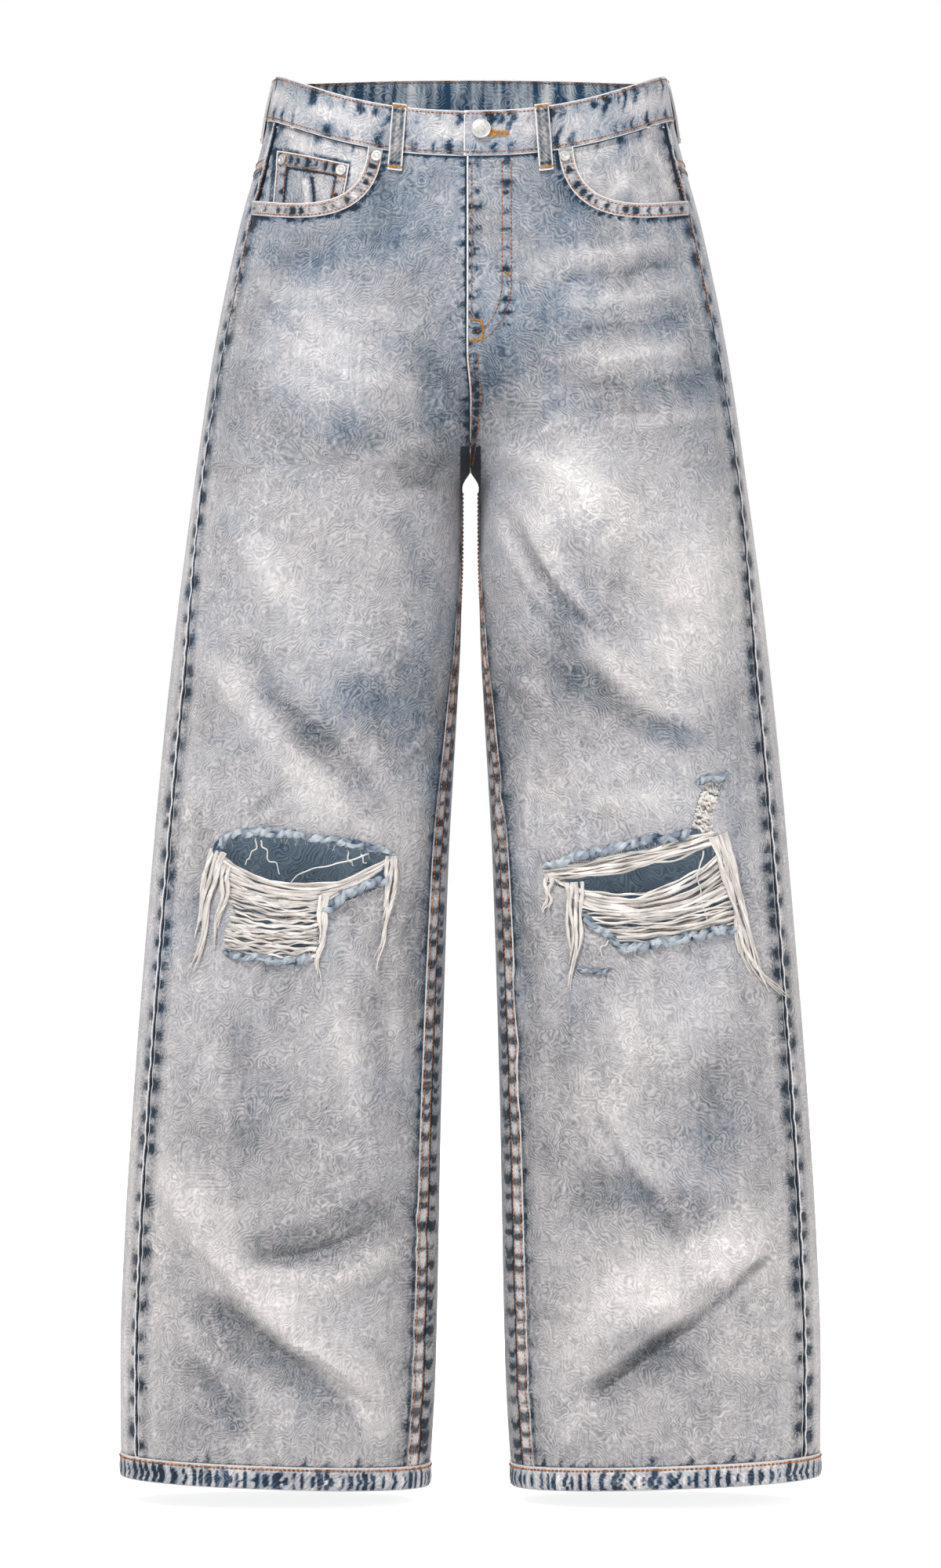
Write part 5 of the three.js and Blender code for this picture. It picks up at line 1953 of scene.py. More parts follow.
class Bands(Garment):
    """The waistband and the hems."""

    BAND_OUT = 0.8
    BAND_THICKNESS = 2.6
    HEIGHT = 35.0
    MIDDLE = -17.0
    UNDERLAP = 22.0
    BAND_LENGTH = 900
    HEM = -1090.0
    HEM_HEIGHT = 18.0
    HEM_ROW = 15.8
    HEM_THICKNESS = 2.4
    LOOPS_ALONG = (0.105, 0.285, 0.515, 0.745, 0.925)

    def waistband(self) -> None:
        """One strip right round the waist, its left end lapped over its right end."""
        front = -math.pi / 2

        def angle_of(x: float) -> float:
            """The angle of a place on the front, either side of the middle."""
            angle = float(FORM.angle_at(np.array(abs(x)), np.array(self.MIDDLE), Face.FRONT))
            return angle if x >= 0 else 2 * front - angle

        end, start = angle_of(FORM.fly_edge - 2), angle_of(-28.0)
        places = ((self.UNDERLAP, 1.0), (self.UNDERLAP / 2, 1.0), (-4.0, 1.0), (-10.0, 0.45), (-18.0, 0.0))
        knots = [(angle_of(x), sunk) for x, sunk in places] + [(start, 0.0)]
        count = 400
        run = [(start - t * (2 * math.pi + start - end), 0.0) for t in np.linspace(0, 1, count)[1:]]
        lead = []
        for (a, s), (b, q) in zip(knots, knots[1:]):
            lead += [(mix(a, b, t), mix(s, q, t)) for t in np.linspace(0, 1, 6)[:-1]]
        angle, sunk = np.array(lead + [knots[-1]] + run).T
        angles, height = np.meshgrid(angle, mix(-self.HEIGHT, 0.0, np.linspace(0, 1, 20)))
        sinks = np.broadcast_to(sunk, angles.shape)
        length = run_of(FORM.oval(angle, np.full(angle.shape, self.MIDDLE), 0.0))
        along = np.broadcast_to(length, angles.shape)
        to_top, to_foot, end = -height, height + self.HEIGHT, self.BAND_LENGTH
        top_marks = SeamMarks(91, 0, end, (8, 17), (2.0, 5.5), (5, 13), (0.3, 1.1), 0.5)
        top_marks = top_marks.at(along, np.abs(to_top - 7))
        foot_marks = SeamMarks(92, 0, end, (8, 17), (1.8, 5.0), (5, 12), (0.3, 1.1), -0.5)
        foot_marks = foot_marks.at(along, np.abs(to_foot - 6))
        streaks = SeamMarks(93, 0, end, (9, 20), (1.2, 3.0), (6, 16), (0.3, 0.9), 0.9)
        streaks = streaks.at(along, np.abs(to_top - 14))
        ripple = -0.5 * top_marks - 0.5 * foot_marks + 0.3 * Noise(3)(along / 22, height / 16)
        rolled = -0.9 * (bell(to_top, 1.2) + bell(to_foot, 1.0))
        offset = self.BAND_OUT - sinks * 3.3 + (ripple + rolled) * (1 - sinks) + 0.25
        points, outward = lift_off(partial(FORM.oval, angles, height), offset)
        wear = Noise(12)
        paint = {
            "fade": 0.55 + 0.16 * wear(along / 34, height / 15) + 0.06 * wear(along / 9, height / 7)
            + 0.10 * bell(to_top - 17, 8) - 0.14 * self.near_loops(along, length[-1]),
            "tone": 0.35 + 0.4 * wear(along / 50 + 9, height / 40),
            "marks": np.maximum(top_marks, foot_marks) - 0.7 * streaks,
            "edge": np.minimum(np.minimum(to_top, to_foot + 0.2), np.abs(along - length[-1])),
        }
        cloth = Cloth(points, np.stack([along, height], -1), outward, paint)
        piece = Workshop.sheet("waistband_strip", cloth)
        materials = (self.palette.denim, self.palette.band_lining)
        self.sew(piece, self.BAND_THICKNESS, "denim_pale", ["waistband"], materials)

    def near_loops(self, along: Array, length: float) -> Array:
        """How much the belt loops shade the band at each point."""
        return sum(bell(along - share * length, 12) for share in self.LOOPS_ALONG)

    def hem(self, side: Side) -> None:
        """A folded hem, roped by its stitching."""
        count = 290
        turn = np.linspace(0, 2 * math.pi, count)
        angles, part = np.meshgrid(turn, np.linspace(0, 1, 12))
        z = mix(self.HEM, self.HEM + self.HEM_HEIGHT, part)
        length = run_of(FORM.cloth(side, turn, np.full(turn.shape, self.HEM + self.HEM_HEIGHT / 2)))
        along, end = np.broadcast_to(length, angles.shape), length[-1] - 4
        height = part * self.HEM_HEIGHT
        to_roll = np.abs(height - 7)
        seed = 95 + side.number
        marks = SeamMarks(seed, 4, end, (5, 10), (1.2, 2.6), (7, 12), (0.55, 1.0), 0.3).at(along, to_roll)
        gaps = SeamMarks(seed + 40, 4, end, (6, 12), (1.0, 2.2), (7, 12), (0.4, 0.9), 0.3).at(along, to_roll)
        marks = np.where(marks > 0.35, marks, marks - 0.9 * gaps)
        shape = 0.5 + 0.7 * bell(to_roll, 7) - 0.8 * marks - 1.0 * bell(height, 1.2)
        shape = shape - 0.5 * bell(height - self.HEM_ROW, 0.9)
        points, outward = lift_off(partial(FORM.cloth, side, angles, z), shape)
        wear = Noise(seed)
        paint = {
            "fade": 0.70 + 0.12 * wear(along / 24, height / 9) + 0.10 * bell(height - 16, 2.2),
            "tone": np.full(along.shape, 0.1),
            "marks": marks * 1.7,
            "edge": np.minimum(height + 0.1, self.HEM_HEIGHT - height),
        }
        cloth = Cloth(points, np.stack([along, height], -1), outward, paint)
        piece = Workshop.sheet(f"hem_band_{side.value}", cloth, closed=True)
        materials = (self.palette.strip, self.palette.wrong)
        self.sew(piece, self.HEM_THICKNESS, "denim_seam", [f"hem_{side.value}"], materials)

    def build(self) -> None:
        """Makes the bands."""
        self.waistband()
        for side in Side:
            self.hem(side)


@dataclass(frozen=True)
class Laid:
    """How a laid-on piece is drawn: a name, its nodes, and its offset, thickness and colouring."""

    name: str
    nodes: tuple[str, ...]
    offset: float
    thickness: float
    fade: float
    tone: float
    slot: str


class Pockets(Garment):
    """Hand pockets, coin pocket, fly facing and back pockets."""

    EDGE_WIDTH = 10.5
    COIN = ((150, -61), (93, -76), (101, -120), (154, -118))
    COIN_WIDE, COIN_TALL, COIN_HEM = 58.0, 50.0, 11.0
    BACK_WIDE, BACK_TALL = 118.0, 134.0
    FACING_FOOT, FACING_INNER = -132.0, 66.0
    FLIP = slice(None, None, -1)
    BACK_INNER, BACK_OUTER, BACK_TOP, BACK_SLOPE = 32.0, 150.0, -124.0, 6.0
    BACK_DEPTH, BACK_POINT, BACK_TAPER = 124.0, 20.0, 8.0

    def lay_on(
        self, side: Side, face: Face, x: Array, z: Array, laid: Laid, paint: Attributes,
        relief: Array | None = None,
    ) -> bpy.types.Object:
        """A piece drawn in the front or back view and laid on the panel.

        Args:
            side: The leg.
            face: Front or back.
            x: The points' distance from the middle line, in rows from the top down.
            z: Their heights.
            laid: How the piece is made.
            paint: Its marks and worn edges, and changes to its fade.
            relief: Extra height at each point.

        Returns:
            The piece.
        """
        x, z = x[self.FLIP], z[self.FLIP]
        paint = {key: values[self.FLIP] for key, values in paint.items()}
        offset = laid.offset + (0.0 if relief is None else relief[self.FLIP])
        points, outward = lift_off(partial(FORM.at, side, face, x, z), offset)
        wear = Noise(hash_of(laid.name) % 90)
        full = {
            "fade": laid.fade + 0.10 * wear(x / 19, z / 19) + paint.get("fade", 0.0) * np.ones(x.shape),
            "tone": laid.tone + 0.4 * wear(x / 30 + 5, z / 30),
            "marks": paint.get("marks", np.zeros(x.shape)),
            "edge": paint.get("edge", np.full(x.shape, 50.0)),
        }
        flat = np.stack([run_of(points, 1) + 1700 + 300 * side.number, z], -1)
        piece = Workshop.sheet(laid.name, Cloth(points, flat, outward, full))
        return self.sew(piece, laid.thickness, laid.slot, laid.nodes)

    def facing(self, side: Side) -> None:
        """The facing that shows behind a hand pocket's opening."""
        part, share = np.meshgrid(np.linspace(0, 1, 46), np.linspace(0, 1, 36))
        z = mix(self.FACING_FOOT, Panels.WAIST_SEAM, share)
        inner = FORM.angle_at(np.full(z.shape, self.FACING_INNER), z, Face.FRONT)
        angle = mix(inner, FORM.side_angle(Face.FRONT, z), part)
        rumple = Noise(21 + side.number)
        offset = -3.3 + 0.7 * rumple(part * 5, share * 4)
        points, outward = lift_off(partial(FORM.cloth, side, angle, z), offset)
        x = np.abs(points[..., 0])
        to_top = (1 - share) * 96
        to_side = (1 - part) * 105
        top = SeamMarks(103 + side.number, -20, 220, (11, 22), (2.4, 4.6), (5, 11), (0.4, 0.9)).at(x, to_top)
        seam = SeamMarks(105 + side.number, -140, -30, (8, 15), (2.2, 4), (5, 10), (0.5, 1)).at(z, to_side)
        shadow = np.zeros(x.shape)
        if side is Side.RIGHT:
            a, b, c, d = np.array(self.COIN, dtype=float)
            away, _, _ = to_line(np.array([d, a, b, c]), x, points[..., 2])
            shadow = 0.75 * bell(away - 1.2, 1.6)
        paint = {
            "fade": 0.67 + 0.16 * rumple(part * 7 + 3, share * 6) + 0.06 * rumple(part * 16, share * 15)
            - 0.14 * bell(to_side, 18),
            "tone": 0.1 + 0.5 * rumple(part * 3 + 8, share * 3),
            "marks": np.maximum.reduce([top, seam, shadow]),
            "edge": np.full(x.shape, 50.0),
        }
        cloth = Cloth(points, np.stack([part * 108, z], -1), outward, paint)
        piece = Workshop.sheet(f"pocket_facing_cloth_{side.value}", cloth)
        self.sew(piece, 1.1, "denim_pale", [f"pocket_facing_{side.value}"])

    def edge(self, side: Side) -> None:
        """The stitched-down edge of a hand pocket's opening."""
        line = respace(Panels(self.palette).scoop(), 1.3)
        line = line[line[:, 1] < -62.5]
        along = unit(np.gradient(line, axis=0))
        out = np.stack([along[:, 1], -along[:, 0]], axis=1)
        width = np.linspace(-0.6, self.EDGE_WIDTH, 12)
        x = line[None, :, 0] + out[None, :, 0] * width[:, None]
        z = line[None, :, 1] + out[None, :, 1] * width[:, None]
        x = np.where(x > 167.5, 167.5 + 0.06 * (x - 167.5), x)
        limit = -66.4 + (x - 66.6) * 0.3
        z = np.where(z > limit, limit + 0.06 * (z - limit), z)
        run = np.broadcast_to(np.arange(len(line)) * 1.3, x.shape)
        away = np.broadcast_to(width[:, None], x.shape)
        rolled = np.abs(away - 5.5)
        marks = SeamMarks(111 + side.number, 4, 170, (5, 11), (1.5, 2.8), (3, 4), (0.4, 1.2), 0.2)
        marks = marks.at(run, rolled)
        pale = SeamMarks(113 + side.number, 4, 170, (6, 12), (1.6, 3.0), (3, 4), (0.4, 1.0), 0.2)
        marks = marks - pale.at(run, rolled) * (marks < 0.3)
        relief = 0.35 * bell(away - 5, 4) - 0.4 * marks - 0.5 * bell(away - self.EDGE_WIDTH, 1.0)
        name, node = f"pocket_edge_strip_{side.value}", f"pocket_edge_{side.value}"
        laid = Laid(name, (node,), 1.25, 1.1, 0.59, -0.4, "denim_seam")
        edge = np.minimum(away + 0.6, self.EDGE_WIDTH + 0.3 - away)
        piece = self.lay_on(side, Face.FRONT, x, z, laid, {"marks": marks, "edge": edge}, relief)

    def coin(self) -> None:
        """The coin pocket, with a hemmed top and stitched-down sides."""
        a, b, c, d = np.array(self.COIN, dtype=float)
        across, down = np.meshgrid(np.linspace(0, 1, 40), np.linspace(0, 1, 32))
        top = a + (b - a) * across[..., None]
        foot = d + (c - d) * across[..., None]
        spot = top + (foot - top) * down[..., None]
        x, z = spot[..., 0], spot[..., 1]
        to_top = down * self.COIN_TALL
        to_side = np.minimum(across, 1 - across) * self.COIN_WIDE
        border = np.minimum(to_top / 1.05, to_side)
        below = to_top > self.COIN_HEM
        roping = SeamMarks(121, 0, 60, (5, 9), (1.4, 2.4), (3, 5), (0.5, 1.1))
        roping = roping.at(across * self.COIN_WIDE, np.abs(to_top - 5))
        sides = SeamMarks(122, 0, 60, (7, 12), (1.6, 3.0), (3, 6), (0.5, 1.2))
        sides = sides.at(to_top, np.abs(to_side - 7)) * below
        # Painted shadows: the dark lines just below the raised hem and just inside the raised sides.
        lines = 0.8 * bell(to_top - 11.4, 1.1) * (to_side > 8) + 0.9 * bell(to_side - 9.4, 1.2) * below
        # Painted shade: a dark band in the pulled wrinkle's trough at x 124; two lines down, a paler band at
        # x 129 is painted highlight on its rise.
        fold = 0.8 * bell(x - 124 + 0.1 * to_top, 2.2) * smooth((to_top - 13) / 4)
        marks = np.maximum.reduce([roping, sides, lines, fold])
        marks = marks - 1.0 * bell(x - 129 + 0.1 * to_top, 2.6) * smooth((to_top - 14) / 6) * (to_side > 10)
        raised = 0.5 * smooth((10.5 - to_top) / 1.0) + 0.35 * smooth((8.5 - to_side) / 1.0)
        pulled = (0.6 * bell(x - 131, 5) - 1.0 * bell(x - 124, 3)) * smooth((to_top - 14) / 8)
        laid = Laid("coin_pocket_cloth", ("coin_pocket",), -2.1, 1.0, 0.50, 0.0, "denim_pale")
        # The fade is darker in the wrinkle's trough too: painted shade.
        paint = {"marks": marks, "edge": border, "fade": 0.06 * below - 0.1 * bell(x - 124, 4)}
        piece = self.lay_on(Side.RIGHT, Face.FRONT, x, z, laid, paint, raised + pulled)

    def fly_facing(self) -> None:
        """The facing behind the fly."""
        part, down = np.meshgrid(np.linspace(0, 1, 14), np.linspace(0, 1, 50))
        turn = np.clip((down - 0.75) / 0.25, 0, 1)
        width = mix(4.0, FORM.fly_width, np.sqrt(1 - turn * turn))
        x = mix(FORM.fly_edge + 0.8, width, part)
        z = mix(-72.8, FORM.fly_end + 2, down)
        laid = Laid("fly_facing_cloth", ("fly_facing",), -3.4, 1.0, 0.30, 0.6, "denim_dark")
        piece = self.lay_on(Side.LEFT, Face.FRONT, x, z, laid, {})

    def back_outline(self, across: Array, down: Array) -> tuple[Array, Array]:
        """A place on a back pocket, from shares across and down it."""
        left = mix(self.BACK_INNER, self.BACK_INNER + self.BACK_TAPER, down)
        right = mix(self.BACK_OUTER, self.BACK_OUTER - self.BACK_TAPER, down)
        length = self.BACK_DEPTH + self.BACK_POINT * (1 - np.abs(2 * across - 1))
        return mix(left, right, across), self.BACK_TOP + self.BACK_SLOPE * across - down * length

    def back_pocket(self, side: Side) -> None:
        """A five-sided patch pocket, with a hemmed top and worn stitched edges."""
        across, down = np.meshgrid(np.linspace(0, 1, 70), np.linspace(0, 1, 72))
        x, z = self.back_outline(across, down)
        to_top, to_foot = down * self.BACK_TALL, (1 - down) * self.BACK_TALL
        to_side = np.minimum(across, 1 - across) * self.BACK_WIDE
        border = np.minimum(np.minimum(to_top, to_side), to_foot)
        seed, u = 131 + side.number, across * self.BACK_WIDE
        marks = np.maximum.reduce([
            SeamMarks(seed, 0, 150, (9, 18), (2, 3.6), (4, 8), (0.3, 0.9)).at(to_top, np.abs(to_side - 6)),
            SeamMarks(seed + 4, 0, 150, (8, 16), (2, 3.6), (4, 7), (0.3, 0.9)).at(u, np.abs(to_top - 9)),
            SeamMarks(seed + 8, 0, 150, (8, 16), (2, 3.6), (4, 7), (0.3, 0.9)).at(u, np.abs(to_foot - 6)),
        ])
        relief = 0.5 * smooth((17.5 - to_top) / 1.0) + 0.5 * Noise(seed)(across * 4, down * 4) - 0.4 * marks
        relief = relief - 0.5 * bell(border, 1.0)
        name, node = f"back_pocket_cloth_{side.value}", f"back_pocket_{side.value}"
        laid = Laid(name, (node,), 1.5, 1.2, 0.64, 0.3, "denim_pale")
        pale = 0.12 * bell(np.hypot((across - 0.5) * self.BACK_WIDE, (down - 0.45) * self.BACK_TALL), 46)
        paint = {"marks": marks, "edge": border, "fade": pale}
        piece = self.lay_on(side, Face.BACK, x, z, laid, paint, relief)

    def build(self) -> None:
        """Makes all the pockets and the fly's facing."""
        for side in Side:
            self.facing(side)
            self.edge(side)
            self.back_pocket(side)
        self.coin()
        self.fly_facing()


def hash_of(name: str) -> int:
    """A small number from a name, the same on every run."""
    return sum((i + 1) * ord(letter) for i, letter in enumerate(name))


class BeltLoops(Garment):
    """Five belt loops, with a bar tack at each end."""

    WIDTH = 11.0
    FOOT = -50.0
    LENGTH = 51.0
    THICKNESS = 1.6
    OFFSET = 1.35 + THICKNESS

    def __init__(self, palette: Palette, tacks: Stitching) -> None:
        """Keeps the palette and the stitching that the bar tacks go into."""
        super().__init__(palette)
        self.tacks = tacks

    def step_round(self, side: Side, angle: float, z: Array, distance: Array) -> Array:
        """The angles that lie distances along the cloth from an angle."""
        low, high = np.zeros(z.shape), np.full(z.shape, 0.5)
        start = FORM.skin(side, np.full(z.shape, angle), z)
        sign = np.sign(distance)
        for _ in range(24):
            half = (low + high) / 2
            far = np.linalg.norm(FORM.skin(side, angle + sign * half, z) - start, axis=-1) < np.abs(distance)
            low, high = np.where(far, half, low), np.where(far, high, half)
        return angle + sign * low

    def loop(self, name: str, side: Side, angle: float, node: str, top: float = 1.5) -> None:
        """One loop.

        Args:
            name: The piece's name.
            side: The side it is on.
            angle: The angle of its middle.
            node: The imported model's loop.
            top: The height of its upper end.
        """
        across, part = np.meshgrid(np.linspace(-0.5, 0.5, 11), np.linspace(0, 1, 40))
        z = mix(self.FOOT, top, part)
        angles = self.step_round(side, angle, z, across * self.WIDTH)
        arch = 1.4 * np.sin(math.pi * part)
        to_side = (0.5 - np.abs(across)) * self.WIDTH
        ridge = 0.25 * bell(to_side - 1.5, 0.9) - 0.35 * bell(to_side, 0.6) - 0.15 * bell(to_side - 5.5, 2)
        up = part * self.LENGTH
        tack = -0.3 * (bell(up - 3, 1.6) + bell(up - 48.5, 1.6))
        points, outward = lift_off(partial(FORM.cloth, side, angles, z), self.OFFSET + arch + ridge + tack)
        wear = Noise(hash_of(name) % 80)
        paint = {
            # Darker along the loop's middle, with a painted shadow line just inside each worn edge.
            "fade": 0.58 + 0.10 * wear(across * 4, part * 9) - 0.10 * bell(to_side - 5.5, 3)
            - 0.28 * bell(to_side - 2.6, 0.8),
            "tone": np.full(z.shape, -0.5),
            "marks": 0.5 * np.maximum(bell(up - 5.5, 1.6), bell(up - 45.5, 1.6)),
            "edge": np.minimum(to_side, np.minimum(up, self.LENGTH - up)),
        }
        flat = np.stack([across * self.WIDTH, up], axis=-1)
        piece = Workshop.sheet(name, Cloth(points, flat, outward, paint))
        self.sew(piece, self.THICKNESS, "denim_seam", [node], (self.palette.strip, self.palette.wrong))
        for height in (2.6, 49.0):
            self.tack(side, angle, mix(self.FOOT, top, height / self.LENGTH), self.OFFSET + 0.05)

    def tack(self, side: Side, angle: float, z: float, offset: float) -> None:
        """A bar tack of close stitches across a loop."""
        spots = np.linspace(-0.46, 0.46, 12) * self.WIDTH
        angles = self.step_round(side, angle, np.full(spots.shape, z), spots)
        for one in angles:
            place = partial(FORM.cloth, side, np.full(2, one), np.array([z - 1.1, z + 1.1]))
            self.tacks.row(*lift_off(place, offset), 2.2, 1.0, 0.95)

    def build(self) -> None:
        """Makes the five loops."""
        front = float(FORM.angle_at(np.array(55.0), np.array(-20.0), Face.FRONT))
        for side in Side:
            own = side.value
            self.loop(f"belt_loop_cloth_front_{own}", side, front, f"belt_loop_front_{own}")
            self.loop(f"belt_loop_cloth_side_{own}", side, math.radians(5), f"belt_loop_side_{own}", -0.6)
        self.loop("belt_loop_cloth_back", Side.LEFT, math.radians(90), "belt_loop_back", -2.0)


class Topstitching(Garment):
    """Every row of stitches on the panels, bands and pockets, in distances from the edges they follow."""

    BAND_ROWS = ((-2.6, 1.05), (-32.2, 1.1))
    FLY_ROWS = ((24.0, -206.0), (31.0, -213.0))
    FLY_TOP, FLY_BEND, FORK_ROWS = -75.0, -166.0, (1.5, 8.5)
    SCOOP_ROWS = (2.0, 8.8)
    COIN_TOP_ROWS, COIN_SIDE_ROWS = (1.6, 10.0), (1.6, 8.2)
    BACK_POCKET_ROWS, BACK_POCKET_TOP_ROWS = (1.8, 8.4), (2.0, 15.5)
    YOKE_ROWS, SEAT_ROWS, INSEAM_ROWS = (1.5, 8.0), (1.6, 8.4), (2.4, 11.0)

    def __init__(self, palette: Palette, tan: Stitching, ochre: Stitching) -> None:
        """Keeps the palette and the two colours of stitching."""
        super().__init__(palette)
        self.tan = tan
        self.ochre = ochre

    def seam_row(
        self, side: Side, face: Face, away: float, top: float, foot: float, lift: float,
        at_side: bool = False,
    ) -> None:
        """A row beside a panel's middle or outer seam, a distance away from it along the cloth."""
        z = np.arange(foot, top, 4.0)
        middle, outer = FORM.middle_angle(side, face, z), FORM.side_angle(face, z)
        share = np.linspace(0, 0.5, 60)[None, :]
        a, b = (outer, middle) if at_side else (middle, outer)
        angles = a[:, None] + (b - a)[:, None] * share
        fan = FORM.skin(side, angles, np.broadcast_to(z[:, None], angles.shape))
        angle = np.array([np.interp(away, run, turns) for run, turns in zip(run_of(fan, 1), angles)])
        x = FORM.skin(side, angle, z)[..., 0]
        offset = lift + FORM.fly_lift(side, face, x, z)
        self.tan.row(*lift_off(partial(FORM.cloth, side, angle, z), offset))

    def drawn(self, side: Side, face: Face, line: Sequence[Point], lift: float) -> None:
        """A row drawn in the front or back view."""
        self.tan.row(*on_cloth(side, face, line, lift))

    def bands(self) -> None:
        """The waistband's two rows and the hems' row."""
        for z, lift in self.BAND_ROWS:
            turn = np.linspace(-math.pi / 2 + 0.001, 1.5 * math.pi - 0.001, 420)
            self.tan.row(*lift_off(partial(FORM.oval, turn, np.full(turn.shape, z)), lift), 3.0)
        inner = np.linspace(-math.pi / 2, 1.5 * math.pi, 420)
        z = np.full(inner.shape, self.BAND_ROWS[0][0])
        line = FORM.oval(inner, z, -1.75)
        out = FORM.oval(inner, z, -2.75) - line
        self.tan.row(line, unit(out), 3.0)
        for side in Side:
            turn = np.linspace(0, 2 * math.pi, 300)
            z = np.full(turn.shape, Bands.HEM + Bands.HEM_ROW)
            self.tan.row(*lift_off(partial(FORM.cloth, side, turn, z), 0.55), 3.4, 0.9, 1.7)

    def fly(self) -> None:
        """The fly's two curved rows, its bar tacks and the rows below it."""
        for width, foot in self.FLY_ROWS:
            straight = [(width, self.FLY_TOP), (width, self.FLY_BEND)]
            turn = np.linspace(0, math.pi / 2, 14)
            tall = foot - self.FLY_BEND
            bend = [
                (1.0 + (width - 1.0) * math.cos(a), self.FLY_BEND + tall * math.sin(a)) for a in turn[1:]
            ]
            self.drawn(Side.LEFT, Face.FRONT, straight + bend, 0.1)
        self.drawn(Side.LEFT, Face.FRONT, [(1.0, self.FLY_TOP), (1.0, -196.0)], 0.1)
        for away in self.FORK_ROWS:
            self.seam_row(Side.LEFT, Face.FRONT, away, -216.0, -302.0, 0.75)
        self.bar(Side.LEFT, [(0, -196), (8, -197), (10, -204), (8, -211), (0, -212)])
        self.bar(Side.LEFT, [(26, -160), (31, -164)])

    def bar(self, side: Side, line: Sequence[Point]) -> None:
        """A bar tack: close stitches across a line."""
        flat = respace(np.array(line, dtype=float), 0.8)
        along = unit(np.gradient(flat, axis=0))
        for (x, z), (dx, dz) in zip(flat, along):
            ends = [(x - dz, z + dx), (x + dz, z - dx)]
            self.ochre.row(*on_cloth(side, Face.FRONT, ends, 0.35, 1.0), 2.0, 1.0, 0.8)

    def buttonhole(self) -> None:
        """The keyhole buttonhole beside the button."""
        turn = np.linspace(0.5, 2 * math.pi - 0.5, 16)
        eye = [(16.0 - 2.4 * math.cos(a), -54.0 + 2.4 * math.sin(a)) for a in turn]
        path = [(29.0, -53.2)] + [(19.0, -52.6)] + eye[::-1] + [(19.0, -55.2), (29.0, -54.6)]
        flat = respace(np.array(path, dtype=float), 0.75)
        along = unit(np.gradient(flat, axis=0))
        for (x, z), (dx, dz) in zip(flat, along):
            ends = np.array([(x - 1.1 * dz, z + 1.1 * dx), (x + 1.1 * dz, z - 1.1 * dx)])
            place = partial(FORM.at, Side.LEFT, Face.FRONT, ends[:, 0], ends[:, 1])
            self.ochre.row(*lift_off(place, 1.25), 2.2, 1.0, 0.8)

    def pockets(self) -> None:
        """The hand pockets', coin pocket's and back pockets' rows."""
        scoop = Panels(self.palette).scoop()
        line = respace(scoop, 2.0)
        line = line[line[:, 1] < -66]
        along = unit(np.gradient(line, axis=0))
        out = np.stack([along[:, 1], -along[:, 0]], axis=1)
        for side in Side:
            for away in self.SCOOP_ROWS:
                row = line + out * away
                row = row[(row[:, 0] < 166) & (row[:, 1] < -69)]
                self.drawn(side, Face.FRONT, row, 1.3)
        a, b, c, d = (np.array(corner, dtype=float) for corner in Pockets.COIN)
        for inset in self.COIN_TOP_ROWS:
            left, right = a + (d - a) * inset / 57.0, b + (c - b) * inset / 45.0
            self.drawn(Side.RIGHT, Face.FRONT, [left + (-1.5, 0), right + (1.5, 0)], -1.5)
        for inset in self.COIN_SIDE_ROWS:
            share = inset / Pockets.COIN_WIDE
            for near, far, foot, far_foot in ((a, b, d, c), (b, a, c, d)):
                upper, lower = near + (far - near) * share, foot + (far_foot - foot) * share
                self.drawn(Side.RIGHT, Face.FRONT, [upper + (0, -2), lower], -1.6)
        maker = Pockets(self.palette)
        for side in Side:
            for inset in self.BACK_POCKET_ROWS:
                u, v = inset / maker.BACK_WIDE, 1 - inset / maker.BACK_TALL
                down = np.linspace(0.01, v, 40)
                foot = np.linspace(u, 1 - u, 40)
                xs, zs = maker.back_outline(np.full(40, u), down)
                fx, fz = maker.back_outline(foot, np.full(40, v))
                rx, rz = maker.back_outline(np.full(40, 1 - u), down[::-1])
                row = np.stack([np.concatenate([xs, fx, rx]), np.concatenate([zs, fz, rz])], axis=1)
                self.drawn(side, Face.BACK, row, 1.6)
            for depth in self.BACK_POCKET_TOP_ROWS:
                xs, zs = maker.back_outline(np.linspace(0.02, 0.98, 40), np.full(40, depth / maker.BACK_TALL))
                self.drawn(side, Face.BACK, np.stack([xs, zs], axis=1), 1.9)

    def yokes(self) -> None:
        """Two rows above each yoke's seam, and two beside the centre seam."""
        for side in Side:
            for up in self.YOKE_ROWS:
                share = np.linspace(0.01, 0.99, 60)
                z = mix(Panels.YOKE_CENTRE, Panels.YOKE_SIDE, share) + up
                angle = mix(FORM.middle_angle(side, Face.BACK, z), FORM.side_angle(Face.BACK, z), share)
                self.tan.row(*lift_off(partial(FORM.cloth, side, angle, z), 0.2))
        for away in self.SEAT_ROWS:
            self.seam_row(Side.LEFT, Face.BACK, away, -38.0, -300.0, 0.75)

    def build(self) -> None:
        """Sews every row."""
        self.bands()
        self.fly()
        self.buttonhole()
        self.pockets()
        self.yokes()
        for side in Side:
            for away in self.INSEAM_ROWS:
                self.seam_row(side, Face.FRONT, away, -318.0, -1070.0, 0.8)
            self.seam_row(side, Face.FRONT, 2.0, -64.0, -190.0, 0.1, at_side=True)
        for name, stitching, material in (
            ("topstitching_tan", self.tan, self.palette.tan),
            ("stitching_ochre", self.ochre, self.palette.ochre),
        ):
            self.finish(stitching.make(name), (material,), "denim_seam", degrees=80)


